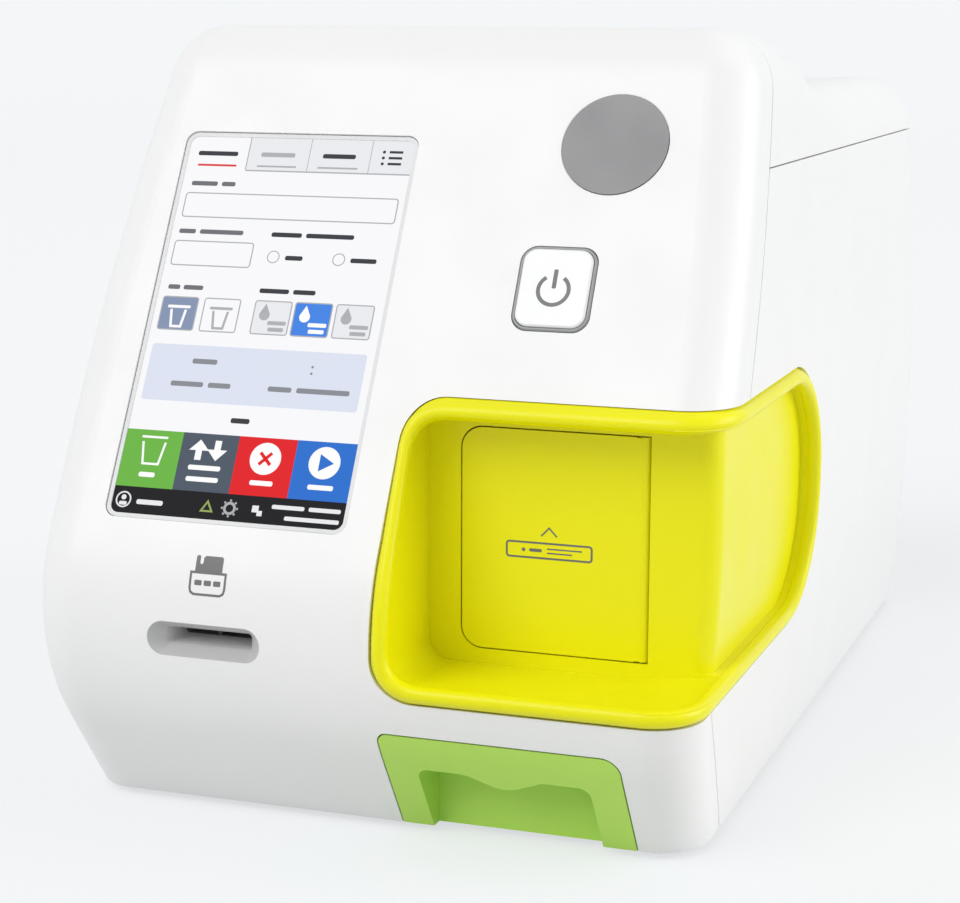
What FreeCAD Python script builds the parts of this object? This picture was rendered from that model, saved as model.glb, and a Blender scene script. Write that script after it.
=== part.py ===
import FreeCAD, Part
import Sketcher
import math
import os
import re
from types import SimpleNamespace
from FreeCAD import Placement, Rotation, Vector

# Bench-top rapid test reader: a white barrel-sided housing with a sloped operating panel, a
# yellow recess wrapped round its right front corner with a hinged cartridge door, and a green
# waste drawer under it. Millimetres and degrees. While it is built the nose of the front is at
# Y 0 and the bottom edge of the covers at Z 0; every piece is then placed so that the whole
# stands on Z 0 with its middle over the origin. X runs to the right, Y to the back.

SIZES = {
    # housing
    "body_width": 180.0,
    "body_height": 202.0,
    "body_depth": 304.6,
    "wall": 2.5,
    "side_radius": 820.0,
    "bulge_height": 89.6,
    "nose_radius": 50.0,
    "nose_height": 50.0,
    "front_tilt": 29.1,
    "lower_tilt": 34.0,
    "crown_radius": 22.0,
    "crown_flat": 6.7,
    "saddle_run": 105.0,
    "saddle_drop": 18.2,
    "front_edge_round": 13.6,
    "top_edge_round": 18.0,
    "seam_depth": 19.5,
    "seam_drop": 17.1,
    "seam_gap": 0.4,
    "overrun": 6.0,
    "panel_datum": 100.0,
    "fit_gap": 0.2,
    "touch_gap": 0.3,
    "running_gap": 0.05,
    "foot_drop": 2.0,
    # yellow recess
    "inset_left": 7.0,
    "inset_bottom": 38.6,
    "inset_top": 111.5,
    "inset_back": 139.5,
    "inset_corner": 11.0,
    "inset_high_corner": 35.0,
    "inset_low_corner": 32.0,
    "lip_width": 4.5,
    "lip_depth": 3.4,
    "lip_proud": 0.5,
    "lip_round": 2.4,
    "inset_wall": 2.2,
    "inset_flare": 2.7,
    "panel_recess": 4.4,
    "door_plane": 37.3,
    "bend_round": 5.0,
    # cartridge door
    "door_left": 18.1,
    "door_right": 64.2,
    "door_bottom": 44.7,
    "door_top": 102.4,
    "door_corner": 5.5,
    "door_thickness": 2.2,
    "door_gap": 0.4,
    "hinge_offset": 1.9,
    "hinge_depth": 1.5,
    "barrel_radius": 1.4,
    "hinge_pin_radius": 0.8,
    "hinge_pin_length": 8.0,
    "lug_width": 5.0,
    "lug_height": 4.0,
    "door_rib": 1.6,
    # display
    "screen_across": -36.17,
    "screen_up": 29.9,
    "screen_width": 64.8,
    "screen_length": 106.9,
    "window_margin": 1.3,
    "window_corner": 3.5,
    "trim_width": 1.1,
    "trim_sink": 0.5,
    "glass_sink": 0.9,
    "glass_thickness": 1.6,
    "lcd_thickness": 4.2,
    "lcd_margin": 3.0,
    "frame_rib": 2.0,
    # power button
    "button_across": 41.0,
    "button_up": 43.3,
    "button_width": 18.4,
    "button_length": 21.0,
    "button_corner": 3.6,
    "ring_width": 0.9,
    "ring_proud": 0.35,
    "button_proud": 1.1,
    "button_height": 6.0,
    "button_travel": 0.8,
    "button_edge": 0.6,
    "stem_radius": 2.0,
    "stem_length": 3.0,
    "switch_size": 6.2,
    "switch_height": 3.5,
    "switch_board_width": 24.0,
    "switch_board_length": 30.0,
    "board_thickness": 1.6,
    # blank badge
    "badge_inset": 39.5,
    "badge_up": 83.5,
    "badge_radius": 14.0,
    "badge_thickness": 0.8,
    "badge_proud": 0.3,
    # chip slot
    "chip_centre": -37.9,
    "chip_height": 49.8,
    "chip_pill_width": 31.2,
    "chip_pill_height": 9.2,
    "chip_slot_width": 24.0,
    "chip_slot_height": 4.6,
    "chip_funnel_depth": 4.0,
    "chip_duct_depth": 15.0,
    "chip_wall": 2.2,
    "socket_length": 12.0,
    "socket_depth": 9.0,
    "tongue_width": 11.0,
    "tongue_height": 0.9,
    "tongue_offset": 4.0,
    # waste drawer
    "drawer_left": 7.4,
    "drawer_right": 69.8,
    "drawer_top": 29.3,
    "drawer_gap": 0.4,
    "drawer_left_corner": 2.5,
    "drawer_right_corner": 4.5,
    "drawer_front_back": 30.0,
    "drawer_length": 138.0,
    "drawer_wall": 1.8,
    "drawer_floor": 4.0,
    "drawer_box_top": 27.5,
    "drawer_box_corner": 4.0,
    "recess_left": 15.7,
    "recess_right": 61.0,
    "recess_top": 19.3,
    "recess_back": 27.2,
    "recess_corner": 3.0,
    "bulge_left": 26.5,
    "bulge_right": 50.5,
    "bulge_drop": 3.6,
    "runner_width": 2.0,
    "runner_height": 10.0,
    "runner_strip": 6.0,
    "runner_front": 32.0,
    "runner_length": 130.0,
    # base, chassis and feet
    "base_thickness": 2.0,
    "base_lift": 0.6,
    "foot_radius": 8.0,
    "foot_inset_x": 26.0,
    "foot_inset_front": 30.0,
    "foot_inset_back": 24.0,
    "chassis_height": 35.5,
    "chassis_sheet": 1.5,
    "chassis_side_gap": 16.5,
    "chassis_front": 46.0,
    "chassis_back_gap": 14.6,
    "chute_left": 8.0,
    "chute_front": 96.0,
    "chute_width": 10.0,
    "chute_length": 56.0,
    "cable_hole": 7.0,
    "cable_hole_y": 64.0,
    "post_radius": 4.0,
    "post_height": 30.0,
    "post_inset": 11.0,
    "post_front": 62.0,
    "post_back_inset": 22.6,
    "screw_radius": 1.6,
    "screw_head_radius": 3.0,
    "screw_head_height": 1.8,
    "screw_length": 12.0,
    # cartridge tray and its drive
    "tray_left": 22.5,
    "tray_width": 26.0,
    "tray_bottom": 50.0,
    "tray_height": 24.0,
    "tray_length": 110.0,
    "tray_front": 69.5,
    "tray_wall": 1.6,
    "tray_floor": 2.2,
    "tray_corner": 2.0,
    "guide_front": 60.0,
    "guide_length": 130.0,
    "guide_floor": 3.0,
    "guide_wall": 2.5,
    "guide_rise": 8.0,
    "guide_leg": 5.0,
    "heater_height": 9.0,
    "heater_length": 90.0,
    "gear_module": 1.0,
    "rack_width": 3.4,
    "rack_height": 4.0,
    "rack_lead": 4.0,
    "pinion_teeth": 16.0,
    "pressure_angle": 20.0,
    "tooth_height": 0.9,
    "tooth_depth": 1.25,
    "gear_backlash": 0.16,
    "pinion_height": 5.0,
    "pinion_y": 80.0,
    "pinion_bore": 1.5,
    "motor_radius": 10.0,
    "motor_height": 17.0,
    "motor_bore_depth": 8.0,
    "plate_clearance": 1.0,
    "bracket_width": 24.0,
    "motor_plate": 1.5,
    # pipettor and optics
    "lift_x": 62.0,
    "lift_y": 135.0,
    "rod_spacing": 28.0,
    "rod_radius": 2.0,
    "screw_rod_radius": 2.5,
    "frame_height": 128.0,
    "frame_width": 44.0,
    "frame_depth": 18.0,
    "frame_right": 72.0,
    "flange_bottom": 90.0,
    "frame_sheet": 2.0,
    "carriage_height": 22.0,
    "carriage_depth": 12.0,
    "carriage_width": 38.0,
    "carriage_top": 150.0,
    "arm_height": 8.0,
    "arm_end": 2.5,
    "syringe_radius": 5.0,
    "syringe_length": 30.0,
    "nozzle_radius": 2.2,
    "nozzle_tip_radius": 0.9,
    "nozzle_length": 34.0,
    "lift_motor_size": 20.0,
    "lift_motor_height": 17.0,
    "bridge_left": 11.0,
    "bridge_back": 186.0,
    "bridge_depth": 26.0,
    "bridge_width": 46.0,
    "bridge_clear": 2.5,
    "optics_width": 30.0,
    "optics_depth": 22.0,
    "optics_height": 20.0,
    "lens_radius": 4.0,
    "lens_length": 2.8,
    # electronics
    "main_left": -70.0,
    "main_front": 70.0,
    "main_width": 68.0,
    "board_gap": 5.0,
    "main_part_height": 8.0,
    "standoff_height": 6.0,
    "standoff_radius": 2.5,
    "power_left": -70.0,
    "power_back_gap": 89.6,
    "power_width": 60.0,
    "power_length": 42.0,
    "power_part_height": 18.0,
    "port_left": -62.0,
    "port_back_gap": 42.6,
    "port_width": 72.0,
    "port_length": 38.0,
    # rear
    "rear_panel_width": 140.0,
    "rear_panel_bottom": 14.0,
    "rear_panel_drop": 14.7,
    "rear_panel_thickness": 1.6,
    "rear_panel_corner": 5.0,
    "rear_ledge_width": 7.5,
    "panel_screw_inset": 3.7,
    "fan_size": 60.0,
    "fan_depth": 15.0,
    "fan_x": 30.0,
    "fan_drop": 52.0,
    "fan_hub_radius": 13.0,
    "fan_blade_radius": 26.5,
    "fan_bore_radius": 28.0,
    "fan_frame_corner": 3.0,
    "blade_thickness": 1.4,
    "blade_count": 7.0,
    "blade_pitch": 38.0,
    "rotor_length": 9.5,
    "stator_depth": 3.4,
    "strut_width": 3.0,
    "slot_height": 3.0,
    "slot_pitch": 6.0,
    "slot_width": 50.0,
    "panel_screw_radius": 1.2,
    "panel_screw_head": 2.3,
    "panel_screw_length": 4.0,
    "inlet_x": -52.0,
    "inlet_size": 11.0,
    "inlet_depth": 14.0,
    "inlet_hole": 3.2,
    "inlet_pin": 1.0,
    "usb_x": -36.0,
    "usb_pitch": 17.0,
    "usb_width": 13.1,
    "usb_height": 6.6,
    "usb_depth": 17.5,
    "network_x": 2.0,
    "network_width": 16.0,
    "network_height": 13.4,
    "network_depth": 21.0,
    "port_skin": 0.8,
    "port_reach": 9.0,
}

WORD = re.compile(r"[a-z][a-z_]*")
CIRCLE = 360.0
RIGHT_ANGLE = 90.0

doc = FreeCAD.newDocument("rapid_test_reader")
sheet = doc.addObject("Spreadsheet::Sheet", "Sizes")
for row, (name, value) in enumerate(SIZES.items(), 1):
    sheet.set("A%d" % row, name)
    sheet.set("B%d" % row, str(value))
    sheet.setAlias("B%d" % row, name)
doc.recompute()
S = SimpleNamespace(**{name: float(sheet.get(name)) for name in SIZES})


def bind(item, prop, text):
    """Ties a property to a sum of sheet cells, written with their bare names."""

    def cell(word):
        name = word.group(0)
        return sheet.Name + "." + name if name in SIZES else name

    item.setExpression(prop, WORD.sub(cell, text))


def bind_base(item, x, y, z, prop="Placement"):
    for letter, text in zip("xyz", (x, y, z)):
        bind(item, "%s.Base.%s" % (prop, letter), text)


# Shape helpers. Sizes and places are sums of sheet cells, so the pieces follow the sheet.

def block(name, low, size):
    item = doc.addObject("Part::Box", name)
    for prop, text in zip(("Length", "Width", "Height"), size):
        bind(item, prop, text)
    bind_base(item, *low)
    return item


def rod(name, base, radius, length, along="z"):
    item = doc.addObject("Part::Cylinder", name)
    bind(item, "Radius", radius)
    bind(item, "Height", length)
    turns = {"x": Rotation(Vector(0, 1, 0), RIGHT_ANGLE),
             "y": Rotation(Vector(1, 0, 0), -RIGHT_ANGLE),
             "z": Rotation()}
    item.Placement = Placement(Vector(), turns[along])
    bind_base(item, *base)
    return item


def cone(name, base, low_radius, high_radius, length):
    item = doc.addObject("Part::Cone", name)
    bind(item, "Radius1", low_radius)
    bind(item, "Radius2", high_radius)
    bind(item, "Height", length)
    bind_base(item, *base)
    return item


def cut(name, base, *tools):
    item = doc.addObject("Part::Cut", name)
    item.Base = base
    item.Tool = tools[0] if len(tools) == 1 else fuse(name + "_tools", *tools)
    return item


def fuse(name, *pieces):
    item = doc.addObject("Part::MultiFuse", name)
    item.Shapes = list(pieces)
    return item


def common(name, *pieces):
    item = doc.addObject("Part::MultiCommon", name)
    item.Shapes = list(pieces)
    return item


def group(name, *pieces):
    item = doc.addObject("Part::Compound", name)
    item.Links = list(pieces)
    return item


def feature(name, shape):
    item = doc.addObject("Part::Feature", name)
    item.Shape = shape
    return item


def worth(text):
    """The number that a sum of sheet cells comes to, worked out by the sheet."""
    sheet.set("D1", "=" + text)
    sheet.recompute()
    return float(sheet.get("D1"))


def rounded_plate(name, width, length, corner, height):
    """A body padded up from a rounded rectangle that is centred on its own origin."""
    body = doc.addObject("PartDesign::Body", name)
    sketch = body.newObject("Sketcher::SketchObject", name + "_outline")
    plane = [item for item in body.Origin.OriginFeatures if item.Role == "XY_Plane"][0]
    sketch.AttachmentSupport = [(plane, "")]
    sketch.MapMode = "FlatFace"
    draw_rounded_rectangle(sketch, width, length, corner)
    pad = body.newObject("PartDesign::Pad", name + "_pad")
    pad.Profile = sketch
    bind(pad, "Length", height)
    body.Tip = pad
    return body


def draw_rounded_rectangle(sketch, width, length, corner):
    x, y, r = worth(width) / 2, worth(length) / 2, worth(corner)
    stops = [(r - x, -y), (x - r, -y), (x, r - y), (x, y - r),
             (x - r, y), (r - x, y), (-x, y - r), (-x, r - y)]
    for side in range(4):
        start, end = stops[2 * side], stops[2 * side + 1]
        sketch.addGeometry(Part.LineSegment(Vector(*start), Vector(*end)))
    centres = ((x - r, r - y), (x - r, y - r), (r - x, y - r), (r - x, r - y))
    for side, (cx, cy) in enumerate(centres):
        circle = Part.Circle(Vector(cx, cy), Vector(0, 0, 1), r)
        first = math.radians(RIGHT_ANGLE * (side - 1))
        sketch.addGeometry(Part.ArcOfCircle(circle, first, first + math.radians(RIGHT_ANGLE)))
    rules = []
    for side in range(4):
        rules.append(Sketcher.Constraint("Tangent", side, 2, side + 4, 1))
        rules.append(Sketcher.Constraint("Tangent", side + 4, 2, (side + 1) % 4, 1))
    for side in (0, 2):
        rules.append(Sketcher.Constraint("Horizontal", side))
        rules.append(Sketcher.Constraint("Vertical", side + 1))
    for arc in (5, 6, 7):
        rules.append(Sketcher.Constraint("Equal", 4, arc))
    rules.append(Sketcher.Constraint("Symmetric", 4, 3, 6, 3, -1, 1))
    for rule in rules:
        sketch.addConstraint(rule)
    sized = ((Sketcher.Constraint("Radius", 4, r), corner),
             (Sketcher.Constraint("DistanceX", 3, 1, 1, 1, 2 * x), width),
             (Sketcher.Constraint("DistanceY", 0, 1, 2, 1, 2 * y), length))
    for rule, text in sized:
        number = sketch.addConstraint(rule)
        bind(sketch, "Constraints[%d]" % number, text)


PANEL_Y = ("nose_radius * (1 - cos(front_tilt)) + tan(front_tilt)"
           " * (panel_datum - nose_height - nose_radius * sin(front_tilt))")


def on_panel(item, across, up, out):
    """Lays a piece on the operating panel: its own Z points out of the panel."""
    item.Placement = Placement(Vector(), Rotation(Vector(1, 0, 0), RIGHT_ANGLE - S.front_tilt))
    bind(item, "Placement.Rotation.Angle", "90 - front_tilt")
    bind_base(item, across,
              "%s + (%s) * sin(front_tilt) - (%s) * cos(front_tilt)" % (PANEL_Y, up, out),
              "panel_datum + (%s) * cos(front_tilt) + (%s) * sin(front_tilt)" % (up, out))
    return item


def facing_front(item, x, y, z):
    """Stands a plate up: its own Z points to the front, its back face lies at y."""
    item.Placement = Placement(Vector(), Rotation(Vector(1, 0, 0), RIGHT_ANGLE))
    bind_base(item, x, y, z)
    return item


PIECES = []


def subpart(label, *items):
    """Names a finished piece and moves it to the frame of the whole object."""
    whole = group(label + "_whole", *items)
    whole.Label = label
    bind_base(whole, "0", "-body_depth / 2", "foot_drop")
    PIECES.append(whole)
    return whole


# Housing. One outline in the YZ plane runs along the lower front, the nose, the operating
# panel, the crown, the saddle behind it and the rear deck. It is crossed with a barrel-sided
# outline in the XZ plane, and the long edges are rounded.

TILT = math.radians(S.front_tilt)
LOWER = math.radians(S.lower_tilt)


def point(y, z, x=0.0):
    return Vector(x, y, z)


def front_curve(inset, low, high):
    """Lower front, nose and panel, moved inward by inset, as edges from low to high."""
    centre = point(S.nose_radius, S.nose_height)
    radius = S.nose_radius - inset
    foot = centre + point(-math.cos(LOWER), -math.sin(LOWER)) * radius
    nose = centre + point(-radius, 0)
    brow = centre + point(-math.cos(TILT), math.sin(TILT)) * radius
    start = foot + point(math.sin(LOWER), -math.cos(LOWER)) * ((foot.z - low) / math.cos(LOWER))
    end = brow + point(math.sin(TILT), math.cos(TILT)) * ((high - brow.z) / math.cos(TILT))
    return start, end, [Part.LineSegment(start, foot).toShape(),
                        Part.Arc(foot, nose, brow).toShape(),
                        Part.LineSegment(brow, end).toShape()]


def panel_y(z):
    """Front face of the operating panel at a height."""
    return front_curve(0.0, 0.0, z)[1].y


def crown_points(inset):
    """Where the panel ends, the middle and the end of the crown's arc, and its radius."""
    radius = S.crown_radius - inset
    inward = point(math.cos(TILT), -math.sin(TILT))
    centre_z = S.body_height - S.crown_radius
    start_z = centre_z + radius * math.sin(TILT)
    start = front_curve(inset, 0.0, start_z)[1]
    centre = start + inward * radius
    middle = point(0, 1) - inward
    middle.normalize()
    return start, centre + middle * radius, centre + point(0, radius)


def saddle_edges(inset):
    """Two arcs that lead from the crown down to the rear deck."""
    run, drop = S.saddle_run, S.saddle_drop
    radius = (run ** 2 + drop ** 2) / (4 * drop)
    turn = math.asin(run / 2 / radius)
    start = crown_points(0.0)[2].y + S.crown_flat
    over = point(start, S.body_height - radius)
    under = point(start + run, S.body_height - drop + radius)

    def high(angle):
        return over + point(math.sin(angle), math.cos(angle)) * (radius - inset)

    def low(angle):
        return under - point(math.sin(angle), math.cos(angle)) * (radius + inset)

    return high(0), low(0), [Part.Arc(high(0), high(turn / 2), high(turn)).toShape(),
                             Part.Arc(low(turn), low(turn / 2), low(0)).toShape()]


def side_outline(inset, floor):
    crown_start, crown_middle, crown_end = crown_points(inset)
    start, end, front = front_curve(inset, floor, crown_start.z)
    high, low, saddle = saddle_edges(inset)
    back_top = point(S.body_depth - inset, S.body_height - S.saddle_drop - inset)
    back_foot = point(S.body_depth - inset, floor)
    edges = front + [Part.Arc(end, crown_middle, crown_end).toShape(),
                     Part.LineSegment(crown_end, high).toShape()] + saddle
    edges += [Part.LineSegment(low, back_top).toShape(),
              Part.LineSegment(back_top, back_foot).toShape(),
              Part.LineSegment(back_foot, start).toShape()]
    return Part.Face(Part.Wire(edges))


def side_x(z, inset=0.0):
    """Half width of the barrel-sided body at a height."""
    radius = S.side_radius - inset
    return S.body_width / 2 - S.side_radius + math.sqrt(radius ** 2 - (z - S.bulge_height) ** 2)


def barrel_prism(inset, front, back):
    """The barrel-sided cross section, run along Y."""
    low = -S.overrun
    high = S.body_height + S.overrun
    right_low = point(front, low, side_x(low, inset))
    right_high = point(front, high, side_x(high, inset))
    right_middle = point(front, S.bulge_height, side_x(S.bulge_height, inset))
    left = [Vector(-p.x, p.y, p.z) for p in (right_high, right_middle, right_low)]
    wire = Part.Wire([Part.Arc(right_low, right_middle, right_high).toShape(),
                      Part.LineSegment(right_high, left[0]).toShape(),
                      Part.Arc(*left).toShape(),
                      Part.LineSegment(left[2], right_low).toShape()])
    return Part.Face(wire).extrude(point(back - front, 0))


def run_across(face):
    """A YZ outline run across the whole width."""
    face.translate(Vector(-S.body_width, 0, 0))
    return face.extrude(Vector(2 * S.body_width, 0, 0))


def body_block(name, inset, floor):
    """The rounded body, moved inward by inset, with its flat bottom at floor."""
    plain = run_across(side_outline(inset, floor)).common(
        barrel_prism(inset, -S.overrun, S.body_depth + S.overrun)).Solids[0]
    crown_start, crown_middle, crown_end = crown_points(inset)
    base = feature(name + "_plain", plain)
    front_round = S.front_edge_round - inset
    top_round = S.top_edge_round - inset
    rounds = []
    for number, edge in enumerate(plain.Edges, 1):
        middle = edge.valueAt((edge.FirstParameter + edge.LastParameter) / 2)
        box = edge.BoundBox
        crosses = box.XMin < 0 < box.XMax
        at_back = middle.y > S.body_depth - inset - S.touch_gap
        at_floor = middle.z < floor + S.touch_gap
        if crosses or at_back or at_floor:
            continue
        if middle.y > crown_end.y:
            rounds.append((number, top_round, top_round))
        elif middle.z > crown_start.z:
            rounds.append((number, front_round, top_round))
        else:
            rounds.append((number, front_round, front_round))
    item = doc.addObject("Part::Fillet", name)
    item.Base = base
    item.Edges = rounds
    return item


outer_body = body_block("outer_body", 0.0, 0.0)
inner_body = body_block("inner_body", S.wall, -S.overrun)
doc.recompute()


# Covers. The shell between the two bodies is parted by the seam that runs behind the front,
# up the sides and over the crown, and by the level seam between the top cover and the sides.

def front_zone(name, depth):
    """Everything in front of the seam, as one block across the whole width."""
    low, high = -2 * S.overrun, S.body_height + 2 * S.overrun
    start, end, edges = front_curve(depth, low, high)
    far = -2 * S.overrun
    edges.append(Part.LineSegment(end, point(far, high)).toShape())
    edges.append(Part.LineSegment(point(far, high), point(far, low)).toShape())
    edges.append(Part.LineSegment(point(far, low), start).toShape())
    return feature(name, run_across(Part.Face(Part.Wire(edges))))


def wide_block(name, z, height):
    return block(name, ("-body_width", "-overrun", z),
                 ("2 * body_width", "body_depth + 2 * overrun", height))


shell = cut("shell", outer_body, inner_body)
front_side = front_zone("front_side", S.seam_depth - S.seam_gap / 2)
behind_seam = cut("behind_seam", shell, front_zone("front_keep_out", S.seam_depth + S.seam_gap / 2))
SEAM_HEIGHT = "(body_height - saddle_drop - seam_drop)"
above_seam = wide_block("above_seam", SEAM_HEIGHT + " + seam_gap / 2", "body_height")
below_seam = wide_block("below_seam", "-overrun", SEAM_HEIGHT + " + overrun - seam_gap / 2")


# Yellow recess. Its outline is the same seen from the front and from the side; the recess
# has a flat wall with the doorway in front and a shallow panel round the corner.

def rounded_corner(before, corner, after, radius):
    """Line ends and arc edge for a square corner of an outline."""
    to_before = (before - corner).normalize()
    to_after = (after - corner).normalize()
    first = corner + to_before * radius
    last = corner + to_after * radius
    centre = first + to_after * radius
    middle = centre + (corner - centre).normalize() * radius
    return first, last, Part.Arc(first, middle, last).toShape()


def outline_wire(corners, radii):
    """A closed wire through corners, each rounded by its radius, or sharp where that is 0."""
    count = len(corners)
    turned = []
    for number, corner in enumerate(corners):
        if radii[number]:
            before, after = corners[number - 1], corners[(number + 1) % count]
            turned.append(rounded_corner(before, corner, after, radii[number]))
        else:
            turned.append((corner, corner, None))
    edges = []
    for number, (first, last, arc) in enumerate(turned):
        if arc:
            edges.append(arc)
        edges.append(Part.LineSegment(last, turned[(number + 1) % count][0]).toShape())
    return Part.Wire(edges)


EDGE_SHARES = (0.1, 0.5, 0.9)


def recess_front_wire(y, margin, flare):
    """The recess seen from the front; the flare widens it to the left and downward."""
    left = S.inset_left + margin - flare
    low = S.inset_bottom + margin
    high = S.inset_top - margin
    radius = S.inset_corner - margin
    corners = [Vector(left, y, high), Vector(left, y, low - flare),
               Vector(S.door_right, y, low - flare), Vector(side_x(low), y, low),
               Vector(S.body_width, y, low), Vector(S.body_width, y, high)]
    return outline_wire(corners, [radius, radius, 0, 0, 0, 0])


def recess_side_prism(margin, flare, step):
    """The recess seen from the side, run across; in front of step it is deeper by the flare."""
    back = S.inset_back - margin
    low = S.inset_bottom + margin
    high = S.inset_top - margin
    corners = [point(-S.overrun, high), point(back, high), point(back, low)]
    if flare:
        corners += [point(step, low), point(step, low - flare)]
    corners.append(point(-S.overrun, low - flare))
    radii = [0, S.inset_high_corner - margin, S.inset_low_corner - margin]
    wire = outline_wire(corners, radii + [0] * (len(corners) - len(radii)))
    return Part.Face(wire).extrude(Vector(S.body_width, 0, 0))


def recess_prism(margin, flare=0.0, step=0.0):
    """The recess outline as a solid, margin inside the opening in the covers."""
    wires = [recess_front_wire(-S.overrun, margin, -flare * S.overrun / S.door_plane),
             recess_front_wire(S.door_plane, margin, flare),
             recess_front_wire(S.inset_back, margin, flare)]
    stretches = [Part.makeLoft(list(pair), True, True) for pair in zip(wires, wires[1:])]
    run = stretches[0].fuse(stretches[1:]).removeSplitter()
    return run.common(recess_side_prism(margin, flare, step))


def recess_core(front, depth, bend):
    """What stays behind the recess: flat in front, barrel-sided at the right, bend rounded."""
    core = barrel_prism(depth, front, S.body_depth)
    corner = [edge for edge in core.Edges
              if edge.BoundBox.YMax < front + S.touch_gap and edge.BoundBox.XMin > 0]
    return core.makeFillet(bend, corner)


def lies_on(edge, shape):
    """Whether an edge runs along the faces of a shape."""
    length = edge.LastParameter - edge.FirstParameter
    points = [edge.valueAt(edge.FirstParameter + length * share) for share in EDGE_SHARES]
    return all(shape.distToShape(Part.Vertex(place))[0] < S.running_gap for place in points)


def inset_body():
    lip_skin = body_block("lip_skin", S.lip_depth, -S.overrun)
    proud_body = body_block("proud_body", -S.lip_proud, -S.overrun)
    doc.recompute()
    lip_outline = recess_prism(S.fit_gap)
    lip = lip_outline.common(proud_body.Shape).cut(lip_skin.Shape)
    wall = recess_prism(S.lip_width - S.inset_wall, S.inset_flare,
                        S.door_plane + S.inset_wall).common(outer_body.Shape)
    cavity = recess_prism(S.lip_width, S.inset_flare, S.door_plane).cut(
        recess_core(S.door_plane, S.panel_recess, S.bend_round))
    inner_core = recess_core(S.door_plane + S.inset_wall, S.panel_recess + S.inset_wall,
                             S.bend_round - S.inset_wall)
    hinge_x = S.door_right + S.hinge_offset
    hinge_y = S.door_plane + S.hinge_depth
    lugs = [Part.makeBox(S.lug_width, S.lug_width, S.lug_height,
                         Vector(hinge_x - S.lug_width / 2, S.door_plane, z))
            for z in (S.door_bottom - S.door_gap - S.lug_height, S.door_top + S.door_gap)]
    doorway = Part.Face(doorway_wire(S.door_plane - S.overrun)).extrude(point(2 * S.overrun, 0))
    reach = S.door_gap + S.lug_height
    pin_holes = Part.makeCylinder(S.hinge_pin_radius, S.door_top - S.door_bottom + 2 * reach,
                                  Vector(hinge_x, hinge_y, S.door_bottom - reach))
    body = lip.fuse(wall).cut(cavity)
    rims = [Part.Compound(proud_body.Shape.Faces), Part.Compound(lip_outline.Faces)]
    rim = [edge for edge in body.Edges if all(lies_on(edge, shape) for shape in rims)]
    body = body.makeFillet(S.lip_round, rim).cut(inner_core).fuse(lugs)
    return feature("inset_body", body.cut(doorway).cut(pin_holes))


def doorway_wire(y):
    left = S.door_left - S.door_gap
    right = S.door_right + S.hinge_offset + S.barrel_radius + S.door_gap
    low = S.door_bottom - S.door_gap
    high = S.door_top + S.door_gap
    corners = [Vector(left, y, low), Vector(left, y, high), Vector(right, y, high),
               Vector(right, y, low)]
    corner = S.door_corner + S.door_gap
    return outline_wire(corners, [corner, corner, 0, 0])


inset = subpart("inset_moulding", inset_body())


# Openings in the covers.

recess_opening = feature("recess_opening", recess_prism(0.0))
window = on_panel(rounded_plate("window", "screen_width + 2 * window_margin",
                                "screen_length + 2 * window_margin", "window_corner",
                                "2 * overrun"),
                  "screen_across", "screen_up", "-overrun")
button_hole = on_panel(rounded_plate("button_hole", "button_width + 2 * ring_width + 2 * fit_gap",
                                     "button_length + 2 * ring_width + 2 * fit_gap",
                                     "button_corner + ring_width", "2 * overrun"),
                       "button_across", "button_up", "-overrun")
badge_seat = on_panel(rod("badge_seat", ("0", "0", "0"), "badge_radius + fit_gap", "overrun"),
                      "body_width / 2 - badge_inset", "badge_up", "badge_proud - badge_thickness")


def drawer_prism(name, growth):
    """The outline of the drawer front, larger by growth, from the nose to the drawer's box."""
    left, right = S.drawer_left - growth, S.drawer_right + growth
    low, high = -S.overrun, S.drawer_top + growth
    corners = [point(-S.overrun, z, x)
               for x, z in ((left, low), (left, high), (right, high), (right, low))]
    wire = outline_wire(corners, [0, S.drawer_left_corner + growth,
                                  S.drawer_right_corner + growth, 0])
    return feature(name, Part.Face(wire).extrude(point(S.drawer_front_back + S.overrun, 0)))


drawer_opening = drawer_prism("drawer_opening", S.drawer_gap)


# Chip slot: a bevelled pill-shaped mouth in the nose that leads into a short duct.

def chip_funnel_shape():
    def pill(y, width, height, corner):
        corners = [Vector(S.chip_centre + sx * width / 2, y, S.chip_height + sz * height / 2)
                   for sx, sz in ((-1, -1), (-1, 1), (1, 1), (1, -1))]
        return outline_wire(corners, [corner] * 4)

    slot_corner = S.chip_slot_height / 2 - S.chip_wall / 2
    mouth = pill(0.0, S.chip_pill_width, S.chip_pill_height, S.chip_pill_height / 2 - S.fit_gap)
    ahead = pill(-S.overrun, S.chip_pill_width, S.chip_pill_height,
                 S.chip_pill_height / 2 - S.fit_gap)
    throat = pill(S.chip_funnel_depth, S.chip_slot_width, S.chip_slot_height, slot_corner)
    end = pill(S.chip_duct_depth + S.overrun, S.chip_slot_width, S.chip_slot_height, slot_corner)
    return (Part.makeLoft([ahead, mouth], True, True).fuse(
        [Part.makeLoft([mouth, throat], True, True), Part.makeLoft([throat, end], True, True)]))


chip_funnel = feature("chip_funnel", chip_funnel_shape())
chip_duct = common("chip_duct", outer_body,
                   block("chip_duct_block",
                         ("chip_centre - chip_pill_width / 2 - chip_wall", "0",
                          "chip_height - chip_pill_height / 2 - chip_wall"),
                         ("chip_pill_width + 2 * chip_wall", "chip_duct_depth",
                          "chip_pill_height + 2 * chip_wall")))

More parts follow.
